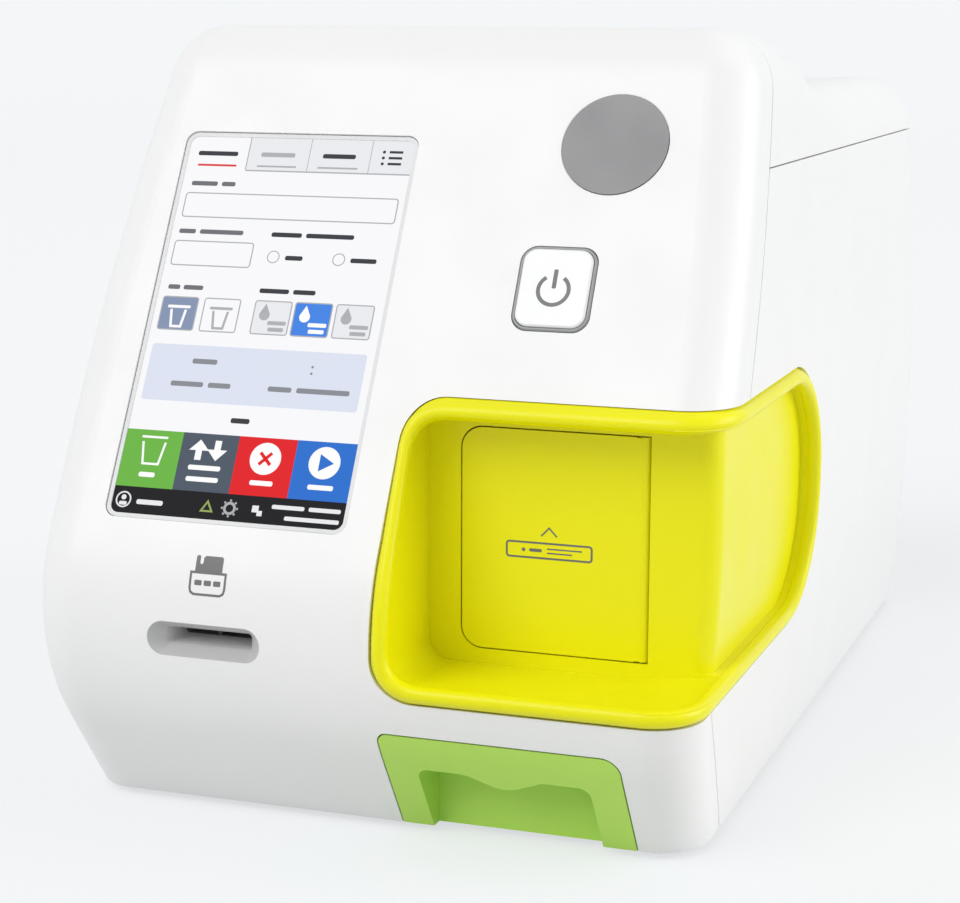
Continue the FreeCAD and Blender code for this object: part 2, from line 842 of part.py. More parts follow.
# A rib frame behind the window holds the display.
LCD_BACK = "(glass_sink + glass_thickness + lcd_thickness)"
window_frame = cut("window_frame",
                   on_panel(rounded_plate(
                       "window_frame_outside",
                       "screen_width + 2 * (lcd_margin + fit_gap + frame_rib)",
                       "screen_length + 2 * (lcd_margin + fit_gap + frame_rib)",
                       "window_corner", LCD_BACK + " - wall / 2"),
                       "screen_across", "screen_up", "-" + LCD_BACK),
                   on_panel(rounded_plate(
                       "window_frame_inside",
                       "screen_width + 2 * (lcd_margin + fit_gap)",
                       "screen_length + 2 * (lcd_margin + fit_gap)",
                       "trim_width", LCD_BACK + " - wall + overrun"),
                       "screen_across", "screen_up", "-%s - overrun" % LCD_BACK))
front_shell = common("front_shell", shell, front_side)
front_whole = fuse("front_whole", front_shell, chip_duct, window_frame)
front_cover = subpart("front_cover", cut("front_cover_cut", front_whole, recess_opening, window,
                                         button_hole, badge_seat, drawer_opening, chip_funnel))
top_cover = subpart("top_cover", common("top_cover_common", behind_seam, above_seam))


# Sides and rear in one piece, with screw posts in its lower corners and a ledge that the
# rear panel lies on.

POST_X = "(body_width / 2 - post_inset)"
POST_BACK = "(body_depth - post_back_inset)"


def post_shapes(radius, low, high):
    for side in ("", "-"):
        for y in ("post_front", POST_BACK):
            yield rod("post", (side + POST_X, y, low), radius, high)


posts = list(post_shapes("post_radius", "base_lift + base_thickness", "post_height"))
webs = [block("post_web", ("%s - post_radius / 2" % x, "%s - wall / 2" % y,
                           "base_lift + base_thickness"),
              ("post_inset", "wall", "post_height"))
        for x in (POST_X, "-body_width / 2 + post_radius / 2") for y in ("post_front", POST_BACK)]
webs_inside = common("webs_inside", fuse("webs", *webs), outer_body)
post_bores = list(post_shapes("screw_radius", "0", "screw_length + base_thickness"))

PANEL_BACK_Y = "(body_depth - screw_head_height / 2 - rear_panel_thickness)"
REAR_TOP = "(%s - rear_panel_drop)" % SEAM_HEIGHT
rear_ledge = block("rear_ledge",
                   ("-rear_panel_width / 2 - 2 * wall", PANEL_BACK_Y + " - wall",
                    "rear_panel_bottom - 2 * wall"),
                   ("rear_panel_width + 4 * wall",
                    "body_depth - wall / 2 - %s + wall" % PANEL_BACK_Y,
                    REAR_TOP + " - rear_panel_bottom + 4 * wall"))
rear_hole = block("rear_hole",
                  ("-rear_panel_width / 2 + rear_ledge_width", PANEL_BACK_Y + " - overrun",
                   "rear_panel_bottom + rear_ledge_width"),
                  ("rear_panel_width - 2 * rear_ledge_width", "2 * overrun",
                   REAR_TOP + " - rear_panel_bottom - 2 * rear_ledge_width"))


def rear_plate(name, growth, y, thickness):
    """A plate with the outline of the rear panel, its front face at y."""
    plate = rounded_plate(name, "rear_panel_width + 2 * " + growth,
                          REAR_TOP + " - rear_panel_bottom + 2 * " + growth,
                          "rear_panel_corner + " + growth, thickness)
    return facing_front(plate, "0", "%s + %s" % (y, thickness),
                        "(%s + rear_panel_bottom) / 2" % REAR_TOP)


def panel_screws(name, radius, y, length):
    """Rods through the four corners of the rear panel."""
    return [rod(name, (x, y, z), radius, length, "y")
            for x in ("rear_panel_width / 2 - panel_screw_inset",
                      "panel_screw_inset - rear_panel_width / 2")
            for z in ("rear_panel_bottom + panel_screw_inset",
                      REAR_TOP + " - panel_screw_inset")]


PANEL_THROUGH = (PANEL_BACK_Y + " - panel_screw_length", "panel_screw_length + overrun")
rear_pocket = rear_plate("rear_pocket", "fit_gap", PANEL_BACK_Y, "overrun")
side_shell = common("side_shell", behind_seam, below_seam)
side_whole = fuse("side_whole", side_shell, webs_inside, rear_ledge, *posts)
side_housing = subpart("side_housing", cut("side_housing_cut", side_whole, recess_opening,
                                           rear_hole, rear_pocket, *(post_bores + panel_screws(
                                               "ledge_hole", "panel_screw_radius + running_gap",
                                               *PANEL_THROUGH))))


# Base plate with a notch for the drawer front, its screws and the rubber feet.

base_inside = body_block("base_inside", S.wall + S.touch_gap, -S.overrun)
base_slab = common("base_slab", base_inside,
                   block("base_layer", ("-body_width", "0", "base_lift"),
                         ("2 * body_width", "body_depth", "base_thickness")))
base_notch = block("base_notch", ("drawer_left - runner_width - drawer_gap", "0", "-overrun"),
                   ("drawer_right - drawer_left + 2 * (runner_width + drawer_gap)",
                    "drawer_front_back + drawer_gap", "2 * overrun"))
base_holes = list(post_shapes("screw_radius + running_gap", "-overrun", "2 * overrun"))
base_plate = subpart("base_plate", cut("base_plate_cut", base_slab, base_notch, *base_holes))
screw_shanks = list(post_shapes("screw_radius - running_gap", "base_lift", "screw_length"))
screw_heads = list(post_shapes("screw_head_radius", "base_lift - screw_head_height",
                               "screw_head_height"))
base_screws = subpart("base_screws", *[fuse("base_screw", shank, head)
                                       for shank, head in zip(screw_shanks, screw_heads)])


def foot(x, y):
    """Turned rubber foot, a little wider at its seat than where it stands."""
    return cone("foot", (x, y, "-foot_drop"), "foot_radius - foot_drop / 2", "foot_radius",
                "foot_drop + base_lift")


rubber_feet = subpart("rubber_feet", *[
    foot(x, y) for x in ("body_width / 2 - foot_inset_x", "foot_inset_x - body_width / 2")
    for y in ("foot_inset_front + drawer_front_back", "body_depth - foot_inset_back")])


# Waste drawer. Its front is cut from the same rounded body and hollow behind, with a finger
# recess that is open below; the box behind it slides on two runners.

def open_box(name, x, y, z, width, length, height, corner, wall, floor):
    """A box with rounded corners and an open top; x, y, z is the middle of its underside."""
    outside = rounded_plate(name + "_outside", width, length, corner, height)
    inside = rounded_plate(name + "_inside", "%s - 2 * %s" % (width, wall),
                           "%s - 2 * %s" % (length, wall), "%s - %s" % (corner, wall), height)
    bind_base(outside, x, y, z)
    bind_base(inside, x, y, "%s + %s" % (z, floor))
    return cut(name + "_open", outside, inside)


WAVE_SHARES = (-1.0, -0.75, -0.5, -0.25, 0.0, 0.25, 0.5, 0.75, 1.0)


def finger_recess():
    low, high = -S.overrun, S.recess_top
    left_low, left_high = point(0, low, S.recess_left), point(0, high, S.recess_left)
    right_low, right_high = point(0, low, S.recess_right), point(0, high, S.recess_right)
    half_wave = (S.bulge_right - S.bulge_left) / 2
    dip_points = [point(0, high - S.bulge_drop * (1 + math.cos(math.pi * share)) / 2,
                        S.bulge_left + half_wave * (1 + share)) for share in WAVE_SHARES]
    across = Vector(1, 0, 0)
    dip = Part.BSplineCurve()
    dip.interpolate(Points=dip_points, InitialTangent=across, FinalTangent=across)
    left = rounded_corner(left_low, left_high, right_high, S.recess_corner)
    right = rounded_corner(left_high, right_high, right_low, S.recess_corner)
    edges = [Part.LineSegment(left_low, left[0]).toShape(), left[2],
             Part.LineSegment(left[1], dip_points[0]).toShape(), dip.toShape(),
             Part.LineSegment(dip_points[-1], right[0]).toShape(), right[2],
             Part.LineSegment(right[1], right_low).toShape(),
             Part.LineSegment(right_low, left_low).toShape()]
    return feature("finger_recess", Part.Face(Part.Wire(edges)).extrude(point(S.recess_back, 0)))


recess_bucket = block("recess_bucket", ("recess_left - drawer_wall", "0", "-overrun"),
                      ("recess_right - recess_left + 2 * drawer_wall",
                       "recess_back + drawer_wall", "recess_top + drawer_wall + overrun"))
hollow_limit = block("hollow_limit", ("0", "0", "-overrun"),
                     ("body_width", "drawer_front_back - drawer_wall", "body_height"))
drawer_hollow = cut("drawer_hollow",
                    common("drawer_hollow_space", inner_body, hollow_limit,
                           drawer_prism("hollow_prism", -S.drawer_wall)), recess_bucket)
drawer_blank = common("drawer_blank", outer_body, drawer_prism("drawer_outline", 0.0))
subpart("drawer_front", cut("drawer_front_cut", drawer_blank, drawer_hollow, finger_recess()))
subpart("drawer_box", open_box("drawer_box", "(drawer_left + drawer_right) / 2",
                               "drawer_front_back + drawer_length / 2", "drawer_floor",
                               "(drawer_right - drawer_left - 4 * drawer_gap)", "drawer_length",
                               "drawer_box_top - drawer_floor", "drawer_box_corner",
                               "drawer_wall", "drawer_wall"))

BASE_TOP = "(base_lift + base_thickness)"


def runner(name, upright_x, strip_x):
    upright = block(name + "_upright", (upright_x, "runner_front", BASE_TOP),
                    ("runner_width", "runner_length", "runner_height"))
    strip = block(name + "_strip", (strip_x, "runner_front", BASE_TOP),
                  ("runner_strip", "runner_length", "drawer_floor - touch_gap - " + BASE_TOP))
    return fuse(name, upright, strip)


subpart("drawer_runners",
        runner("left_runner", "drawer_left + drawer_gap - runner_width",
               "drawer_left + drawer_gap - runner_width"),
        runner("right_runner", "drawer_right - drawer_gap",
               "drawer_right - drawer_gap + runner_width - runner_strip"))


# Chassis: a bent sheet that stands on the base and carries the mechanism and the boards, with
# a chute for used tips over the drawer and two cable holes.

CHASSIS_LEFT = "(chassis_side_gap - body_width / 2)"
CHASSIS_LENGTH = "(body_depth - chassis_back_gap - chassis_front)"
deck = block("deck", (CHASSIS_LEFT, "chassis_front", "chassis_height - chassis_sheet"),
             ("body_width - 2 * chassis_side_gap", CHASSIS_LENGTH, "chassis_sheet"))
deck_legs = [block("deck_leg", (x, "chassis_front", BASE_TOP),
                   ("chassis_sheet", CHASSIS_LENGTH, "chassis_height - " + BASE_TOP))
             for x in (CHASSIS_LEFT, "-%s - chassis_sheet" % CHASSIS_LEFT)]
chute = block("chute", ("chute_left", "chute_front", "base_thickness"),
              ("chute_width", "chute_length", "chassis_height"))
cable_holes = [rod("cable_hole", (x, "cable_hole_y", "base_thickness"), "cable_hole",
                   "chassis_height")
               for x in (CHASSIS_LEFT + " / 2", "-cable_hole")]
subpart("chassis", cut("chassis_cut", fuse("chassis_sheet_metal", deck, *deck_legs), chute,
                       *cable_holes))


# Cartridge door: a leaf flush with the wall of the recess, hinged at its right edge.

HINGE_X = "(door_right + hinge_offset)"
HINGE_Y = "(door_plane + hinge_depth)"


def door_leaf():
    corners = [point(S.door_plane, z, x) for x, z in (
        (S.door_left, S.door_bottom), (S.door_left, S.door_top),
        (S.door_right, S.door_top), (S.door_right, S.door_bottom))]
    wire = outline_wire(corners, [S.door_corner, S.door_corner, 0, 0])
    return feature("door_leaf", Part.Face(wire).extrude(point(S.door_thickness, 0)))


door_web = block("door_web",
                 ("door_right - hinge_offset", HINGE_Y + " - running_gap", "door_bottom"),
                 ("2 * hinge_offset", "door_thickness - hinge_depth + running_gap",
                  "door_top - door_bottom"))
door_barrel = rod("door_barrel", (HINGE_X, HINGE_Y, "door_bottom"), "barrel_radius",
                  "door_top - door_bottom")
DOOR_BACK = "door_plane + door_thickness"
door_ribs = [block("door_rib", (x, DOOR_BACK, z), size) for x, z, size in (
    ("door_left + door_corner", "door_bottom + door_rib",
     ("door_right - door_left - 2 * door_corner", "door_rib", "door_rib")),
    ("door_left + door_corner", "door_top - 2 * door_rib",
     ("door_right - door_left - 2 * door_corner", "door_rib", "door_rib")),
    ("door_left + door_rib", "door_bottom + door_corner",
     ("door_rib", "door_rib", "door_top - door_bottom - 2 * door_corner")))]
door_bores = [rod("door_bore", (HINGE_X, HINGE_Y, z), "hinge_pin_radius + running_gap",
                  "hinge_pin_length / 2")
              for z in ("door_bottom", "door_top - hinge_pin_length / 2")]
subpart("cartridge_door", cut("cartridge_door_cut",
                              fuse("door_whole", door_leaf(), door_web, door_barrel, *door_ribs),
                              *door_bores))
subpart("door_pins", *[rod("door_pin", (HINGE_X, HINGE_Y, z), "hinge_pin_radius",
                           "hinge_pin_length")
                       for z in ("door_bottom - door_gap - lug_height",
                                 "door_top + door_gap + lug_height - hinge_pin_length")])


# Display: a thin trim in the window, the touch glass inside it and the panel module behind.

subpart("display_trim", cut("display_trim_cut",
                            on_panel(rounded_plate("trim_outside",
                                                   "screen_width + 2 * trim_width",
                                                   "screen_length + 2 * trim_width",
                                                   "window_corner - fit_gap",
                                                   "wall - trim_sink"),
                                     "screen_across", "screen_up", "-wall"),
                            on_panel(rounded_plate("trim_inside", "screen_width",
                                                   "screen_length",
                                                   "window_corner - trim_width",
                                                   "2 * overrun"),
                                     "screen_across", "screen_up", "-overrun")))
subpart("touch_glass", on_panel(rounded_plate("glass", "screen_width - 2 * running_gap",
                                              "screen_length - 2 * running_gap",
                                              "window_corner - trim_width", "glass_thickness"),
                                "screen_across", "screen_up", "-glass_sink - glass_thickness"))
subpart("lcd_module", on_panel(rounded_plate("lcd", "screen_width + 2 * lcd_margin",
                                             "screen_length + 2 * lcd_margin", "trim_width",
                                             "lcd_thickness"),
                               "screen_across", "screen_up", "-" + LCD_BACK))


# Power button: a cap that slides in a bevelled ring and presses a switch on a small board.

def button_cap():
    x, y = S.button_width / 2, S.button_length / 2
    corners = [Vector(-x, -y, 0), Vector(x, -y, 0), Vector(x, y, 0), Vector(-x, y, 0)]
    wire = outline_wire(corners, [S.button_corner] * len(corners))
    solid = Part.Face(wire).extrude(Vector(0, 0, S.button_height))
    top = [edge for edge in solid.Edges if edge.BoundBox.ZMin > S.button_height - S.touch_gap]
    return feature("button_cap", solid.makeFillet(S.button_edge, top))


def button_ring():
    x, y = S.button_width / 2 + S.ring_width, S.button_length / 2 + S.ring_width
    corners = [Vector(-x, -y, 0), Vector(x, -y, 0), Vector(x, y, 0), Vector(-x, y, 0)]
    wire = outline_wire(corners, [S.button_corner + S.ring_width] * len(corners))
    height = S.wall + S.ring_proud
    solid = Part.Face(wire).extrude(Vector(0, 0, height))
    top = [edge for edge in solid.Edges if edge.BoundBox.ZMin > height - S.running_gap]
    return feature("button_ring_blank", solid.makeChamfer(S.ring_proud, top))


ring_inside = rounded_plate("ring_inside", "button_width + 2 * fit_gap",
                            "button_length + 2 * fit_gap", "button_corner + fit_gap",
                            "2 * overrun")
subpart("button_ring", cut("button_ring_cut",
                           on_panel(button_ring(), "button_across", "button_up", "-wall"),
                           on_panel(ring_inside, "button_across", "button_up", "-overrun")))
STEM_END = "(button_proud - button_height - stem_length)"
button_stem = on_panel(rod("button_stem", ("0", "0", "0"), "stem_radius",
                           "stem_length + button_height / 2"),
                       "button_across", "button_up", STEM_END)
subpart("power_button", fuse("power_button_fused", button_stem,
                             on_panel(button_cap(), "button_across", "button_up",
                                      "button_proud - button_height")))
SWITCH_TOP = "(%s - button_travel - fit_gap)" % STEM_END
switch_body = on_panel(rounded_plate("switch_body", "switch_size", "switch_size", "ring_width",
                                     "switch_height"),
                       "button_across", "button_up", SWITCH_TOP + " - switch_height")
switch_board = on_panel(rounded_plate("switch_board", "switch_board_width",
                                      "switch_board_length", "ring_width", "board_thickness"),
                        "button_across", "button_up",
                        SWITCH_TOP + " - switch_height - board_thickness")
subpart("button_switch", fuse("button_switch_fused", switch_body, switch_board))


# Blank badge and the socket behind the chip slot.

subpart("blank_badge", on_panel(rod("badge_disc", ("0", "0", "0"), "badge_radius",
                                    "badge_thickness"),
                                "body_width / 2 - badge_inset", "badge_up",
                                "badge_proud - badge_thickness"))
socket_block = block("socket_block",
                     ("chip_centre - chip_slot_width / 2 - chip_wall", "chip_duct_depth",
                      "chip_height - chip_slot_height / 2 - chip_wall"),
                     ("chip_slot_width + 2 * chip_wall", "socket_length",
                      "chip_slot_height + 2 * chip_wall"))
socket_mouth = block("socket_mouth",
                     ("chip_centre - chip_slot_width / 2", "chip_duct_depth",
                      "chip_height - chip_slot_height / 2"),
                     ("chip_slot_width", "socket_depth", "chip_slot_height"))
socket_tongue = block("socket_tongue",
                      ("chip_centre + tongue_offset - tongue_width / 2", "chip_duct_depth",
                       "chip_height - tongue_height / 2"),
                      ("tongue_width", "socket_length", "tongue_height"))
subpart("chip_socket", fuse("chip_socket_fused", cut("socket_hollow", socket_block, socket_mouth),
                            socket_tongue))


# Cartridge tray with a rack along its right side, and the guide and heater under it.

TRAY_RIGHT = "(tray_left + tray_width)"
TRAY_MIDDLE = "(tray_left + tray_width / 2)"
PITCH = math.pi * S.gear_module
ADDENDUM = S.tooth_height * S.gear_module
DEDENDUM = S.tooth_depth * S.gear_module
PRESSURE = math.radians(S.pressure_angle)
PINION_RADIUS = S.gear_module * S.pinion_teeth / 2
PINION_X = TRAY_RIGHT + " + rack_width - gear_module + gear_module * pinion_teeth / 2"


def rack_shape():
    """Straight-flanked teeth that point to the right, one of them level with the pinion."""
    pitch_x = S.tray_left + S.tray_width + S.rack_width - S.gear_module
    back_x = S.tray_left + S.tray_width - S.tray_wall / 2
    start, end = S.pinion_y - S.rack_lead, S.tray_front + S.tray_length - S.tray_corner
    half = PITCH / 4 - S.gear_backlash / 4
    tip = half - ADDENDUM * math.tan(PRESSURE)
    root = half + DEDENDUM * math.tan(PRESSURE)
    outline = [(back_x, start), (pitch_x - DEDENDUM, start)]
    y = S.pinion_y
    while y - root < start:
        y += PITCH
    y -= PITCH
    while y + PITCH + root < end:
        if y - root > start:
            outline += [(pitch_x - DEDENDUM, y - root), (pitch_x + ADDENDUM, y - tip),
                        (pitch_x + ADDENDUM, y + tip), (pitch_x - DEDENDUM, y + root)]
        y += PITCH
    outline += [(pitch_x - DEDENDUM, end), (back_x, end)]
    wire = Part.makePolygon([Vector(x, y, S.tray_bottom) for x, y in outline + outline[:1]])
    return feature("rack", Part.Face(wire).extrude(Vector(0, 0, S.rack_height)))


def involute(angle):
    return math.tan(angle) - angle


def pinion_shape():
    """Involute teeth; the gap between two of them faces the rack."""
    base_radius = PINION_RADIUS * math.cos(PRESSURE)
    half_angle = (PITCH / 4 - S.gear_backlash / 4) / PINION_RADIUS
    tip_radius = PINION_RADIUS + ADDENDUM
    flank = [(PINION_RADIUS - DEDENDUM, half_angle + involute(PRESSURE))]
    for radius in (base_radius, PINION_RADIUS, (PINION_RADIUS + tip_radius) / 2, tip_radius):
        pressure = math.acos(base_radius / radius)
        flank.append((radius, half_angle + involute(PRESSURE) - involute(pressure)))
    teeth = int(S.pinion_teeth)
    outline = []
    for tooth in range(teeth):
        middle = math.pi + (tooth + 0.5) * 2 * math.pi / teeth
        outline += [(radius, middle - angle) for radius, angle in flank]
        outline += [(radius, middle + angle) for radius, angle in reversed(flank)]
    points = [Vector(r * math.cos(a), r * math.sin(a), 0) for r, a in outline + outline[:1]]
    item = feature("pinion", Part.Face(Part.makePolygon(points)).extrude(
        Vector(0, 0, S.pinion_height)))
    bind_base(item, PINION_X, "pinion_y", "tray_bottom")
    return item


subpart("cartridge_tray", fuse("cartridge_tray_fused", rack_shape(), open_box(
    "tray", TRAY_MIDDLE, "tray_front + tray_length / 2", "tray_bottom", "tray_width",
    "tray_length", "tray_height", "tray_corner", "tray_wall", "tray_floor")))

GUIDE_LEFT = "(tray_left - touch_gap - guide_wall)"
GUIDE_RIGHT = "(%s + rack_width + touch_gap)" % TRAY_RIGHT
GUIDE_TOP = "(tray_bottom - touch_gap)"
GUIDE_UNDER = "(%s - guide_floor)" % GUIDE_TOP
GUIDE_WIDTH = "(%s + guide_wall - %s)" % (GUIDE_RIGHT, GUIDE_LEFT)
guide_floor = block("guide_floor", (GUIDE_LEFT, "guide_front", GUIDE_UNDER),
                    (GUIDE_WIDTH, "guide_length", "guide_floor"))
guide_left = block("guide_left", (GUIDE_LEFT, "guide_front", GUIDE_UNDER),
                   ("guide_wall", "guide_length", "guide_floor + guide_rise"))
guide_right = block("guide_right", (GUIDE_RIGHT, "guide_front", GUIDE_UNDER),
                    ("guide_wall", "guide_length", "guide_floor + guide_rise / 2"))
guide_window = block("guide_window", (GUIDE_RIGHT + " - touch_gap", "pinion_y - bracket_width / 2",
                                      GUIDE_TOP),
                     ("guide_wall + 2 * touch_gap", "bracket_width", "guide_rise"))
guide_legs = [block("guide_leg", (GUIDE_LEFT, y, "chassis_height"),
                    (GUIDE_WIDTH, "guide_leg", "%s - chassis_height" % GUIDE_UNDER))
              for y in ("guide_front", "guide_front + guide_length - guide_leg")]
subpart("tray_guide", cut("tray_guide_cut", fuse("tray_guide_fused", guide_floor, guide_left,
                                                 guide_right, *guide_legs), guide_window))
HEATER_FRONT = "guide_front + (guide_length - heater_length) / 2"
subpart("heater_block", block("heater", (GUIDE_LEFT, HEATER_FRONT, GUIDE_UNDER + " - heater_height"),
                              (GUIDE_WIDTH, "heater_length", "heater_height")))

PLATE_Z = "(tray_bottom + pinion_height + plate_clearance)"
pinion_shaft = rod("pinion_shaft", (PINION_X, "pinion_y", "tray_bottom"), "pinion_bore",
                   "pinion_height + motor_plate + motor_bore_depth")
subpart("tray_pinion", fuse("tray_pinion_fused", pinion_shape(), pinion_shaft))
motor_can = rod("motor_can", (PINION_X, "pinion_y", PLATE_Z + " + motor_plate"), "motor_radius",
                "motor_height")
motor_bore = rod("motor_bore", (PINION_X, "pinion_y", PLATE_Z), "pinion_bore + running_gap",
                 "motor_plate + motor_bore_depth")
subpart("tray_motor", cut("tray_motor_cut", motor_can, motor_bore))
bracket_plate = block("bracket_plate", (PINION_X + " - motor_radius + touch_gap",
                                        "pinion_y - bracket_width / 2", PLATE_Z),
                      ("frame_right - %s + motor_radius - touch_gap" % ("(" + PINION_X + ")"),
                       "bracket_width", "motor_plate"))
bracket_leg = block("bracket_leg", ("frame_right - motor_plate", "pinion_y - bracket_width / 2",
                                    "chassis_height"),
                    ("motor_plate", "bracket_width", PLATE_Z + " + motor_plate - chassis_height"))
bracket_hole = rod("bracket_hole", (PINION_X, "pinion_y", PLATE_Z), "2 * pinion_bore",
                   "motor_plate")
subpart("motor_bracket", cut("motor_bracket_cut", fuse("motor_bracket_fused", bracket_plate,
                                                       bracket_leg), bracket_hole))


# Pipettor: a carriage that a screw raises and lowers on two rods, with a syringe on its arm.

FRAME_TOP = "(chassis_height + frame_height)"
FRAME_FRONT = "lift_y - frame_width / 2"
frame_back = block("frame_back", ("frame_right - frame_sheet", FRAME_FRONT, "chassis_height"),
                   ("frame_sheet", "frame_width", "frame_height"))
flanges = [block("frame_flange", ("frame_right - frame_depth", FRAME_FRONT, z),
                 ("frame_depth", "frame_width", "frame_sheet"))
           for z in (FRAME_TOP + " - frame_sheet", "flange_bottom")]
frame_foot = block("frame_foot", ("frame_right - frame_depth / 2", FRAME_FRONT, "chassis_height"),
                   ("frame_depth / 2", "frame_width", "frame_sheet"))


def lift_rods(name, radius, low, length):
    return [rod(name, ("lift_x", y, low), radius, length)
            for y in ("lift_y - rod_spacing / 2", "lift_y + rod_spacing / 2")]


def lift_bore(name, low, length):
    return rod(name, ("lift_x", "lift_y", low), "screw_rod_radius + running_gap", length)


ROD_LENGTH = "%s - flange_bottom" % FRAME_TOP
subpart("pipettor_frame", cut("pipettor_frame_cut",
                              fuse("pipettor_frame_fused", frame_back, frame_foot, *flanges),
                              lift_bore("frame_bore", "flange_bottom", ROD_LENGTH),
                              *lift_rods("frame_rod_hole", "rod_radius", "flange_bottom",
                                         ROD_LENGTH)))
subpart("guide_rods", *lift_rods("guide_rod", "rod_radius", "flange_bottom", ROD_LENGTH))
subpart("lift_screw", rod("screw_rod", ("lift_x", "lift_y", "flange_bottom"),
                          "screw_rod_radius", ROD_LENGTH + " + lift_motor_height / 3"))
lift_motor_can = block("lift_motor_can", ("lift_x - lift_motor_size / 2",
                                          "lift_y - lift_motor_size / 2", FRAME_TOP),
                       ("lift_motor_size", "lift_motor_size", "lift_motor_height"))
subpart("lift_motor", cut("lift_motor_cut", lift_motor_can,
                          lift_bore("lift_motor_bore", FRAME_TOP, "lift_motor_height / 2")))

CARRIAGE_LOW = "(carriage_top - carriage_height)"
carriage_block = block("carriage_block", ("lift_x - carriage_depth / 2",
                                          "lift_y - carriage_width / 2", CARRIAGE_LOW),
                       ("carriage_depth", "carriage_width", "carriage_height"))
arm_left = "(%s - syringe_radius - arm_end)" % TRAY_MIDDLE
arm_block = block("arm_block", (arm_left, "lift_y - carriage_depth / 2", CARRIAGE_LOW),
                  ("lift_x - " + arm_left, "carriage_depth + fit_gap", "arm_height"))
syringe_hole = rod("syringe_hole", (TRAY_MIDDLE, "lift_y", CARRIAGE_LOW),
                   "syringe_radius + running_gap", "arm_height")
subpart("pipettor_carriage", cut("pipettor_carriage_cut",
                                 fuse("carriage_fused", carriage_block, arm_block), syringe_hole,
                                 lift_bore("carriage_bore", CARRIAGE_LOW, "carriage_height"),
                                 *lift_rods("carriage_rod_hole", "rod_radius + running_gap",
                                            CARRIAGE_LOW, "carriage_height")))
SYRINGE_LOW = "(%s - (syringe_length - carriage_height - arm_height) - arm_end)" % CARRIAGE_LOW
syringe_body = rod("syringe_body", (TRAY_MIDDLE, "lift_y", SYRINGE_LOW), "syringe_radius",
                   "syringe_length")
nozzle = cone("nozzle", (TRAY_MIDDLE, "lift_y", SYRINGE_LOW + " - nozzle_length"),
              "nozzle_tip_radius", "nozzle_radius", "nozzle_length")
plunger = rod("plunger", (TRAY_MIDDLE, "lift_y", SYRINGE_LOW + " + syringe_length"),
              "rod_radius", "arm_height")
subpart("syringe", fuse("syringe_fused", syringe_body, nozzle, plunger))


# Optical head on a bridge over the rear end of the tray.

BRIDGE_Z = "(tray_bottom + tray_height + bridge_clear)"
BRIDGE_FRONT = "(bridge_back - bridge_depth)"
HEAD_MIDDLE = "(bridge_back - bridge_depth / 2)"
bridge_leg = block("bridge_leg", ("bridge_left", BRIDGE_FRONT, "chassis_height"),
                   ("chassis_sheet", "bridge_depth",
                    BRIDGE_Z + " + chassis_sheet - chassis_height"))
bridge_top = block("bridge_top", ("bridge_left", BRIDGE_FRONT, BRIDGE_Z),
                   ("bridge_width", "bridge_depth", "chassis_sheet"))
bridge_foot = block("bridge_foot", ("bridge_left - post_radius", BRIDGE_FRONT, "chassis_height"),
                    ("post_radius + chassis_sheet", "bridge_depth", "chassis_sheet"))
lens_hole = rod("lens_hole", (TRAY_MIDDLE, HEAD_MIDDLE, BRIDGE_Z), "lens_radius + fit_gap",
                "chassis_sheet")
subpart("optics_bridge", cut("optics_bridge_cut", fuse("optics_bridge_fused", bridge_leg,
                                                       bridge_top, bridge_foot), lens_hole))
HEAD_LOW = "(%s + chassis_sheet)" % BRIDGE_Z
optics_case = block("optics_case", (TRAY_MIDDLE + " - optics_width / 2",
                                    HEAD_MIDDLE + " - optics_depth / 2", HEAD_LOW),
                    ("optics_width", "optics_depth", "optics_height"))
lens = rod("lens", (TRAY_MIDDLE, HEAD_MIDDLE, HEAD_LOW + " - lens_length"), "lens_radius",
           "lens_length")
subpart("optical_head", fuse("optical_head_fused", optics_case, lens))


# Boards on standoffs. Each row gives a part's corner and its width and length as shares of the
# board's width and length, and its height as a share of the tallest part on that board.

MAIN_PART_SHARES = ((0.34, 0.40, 0.30, 0.14, 0.88), (0.12, 0.42, 0.16, 0.11, 0.18),
                    (0.12, 0.62, 0.16, 0.11, 0.18), (0.72, 0.30, 0.13, 0.065, 0.22),
                    (0.05, 0.10, 0.075, 0.21, 1.0), (0.86, 0.55, 0.075, 0.26, 1.0),
                    (0.40, 0.86, 0.32, 0.045, 0.75), (0.55, 0.66, 0.19, 0.09, 0.25))
POWER_PART_SHARES = ((0.08, 0.15, 0.30, 0.52, 0.83), (0.46, 0.12, 0.07, 0.71, 1.0),
                     (0.60, 0.15, 0.20, 0.29, 0.5), (0.60, 0.60, 0.33, 0.21, 0.39))
BOARD_Z = "(chassis_height + standoff_height)"
BOARD_TOP = "(%s + board_thickness)" % BOARD_Z


BOARD_FRONTS = {"main": "main_front", "power": "(body_depth - power_back_gap)",
                "port": "(body_depth - port_back_gap)"}
BOARD_LENGTHS = {"main": "(%s - board_gap - main_front)" % BOARD_FRONTS["power"],
                 "power": "power_length", "port": "port_length"}


def board(label, place):
    corner, width = place + "_left", place + "_width"
    front, length = BOARD_FRONTS[place], BOARD_LENGTHS[place]
    subpart(label, block(label + "_plate", (corner, front, BOARD_Z),
                         (width, length, "board_thickness")))
    return [rod(label + "_standoff", (x, y, "chassis_height"), "standoff_radius", "standoff_height")
            for x in (corner + " + 2 * standoff_radius",
                      "%s + %s - 2 * standoff_radius" % (corner, width))
            for y in (front + " + 2 * standoff_radius",
                      "%s + %s - 2 * standoff_radius" % (front, length))]


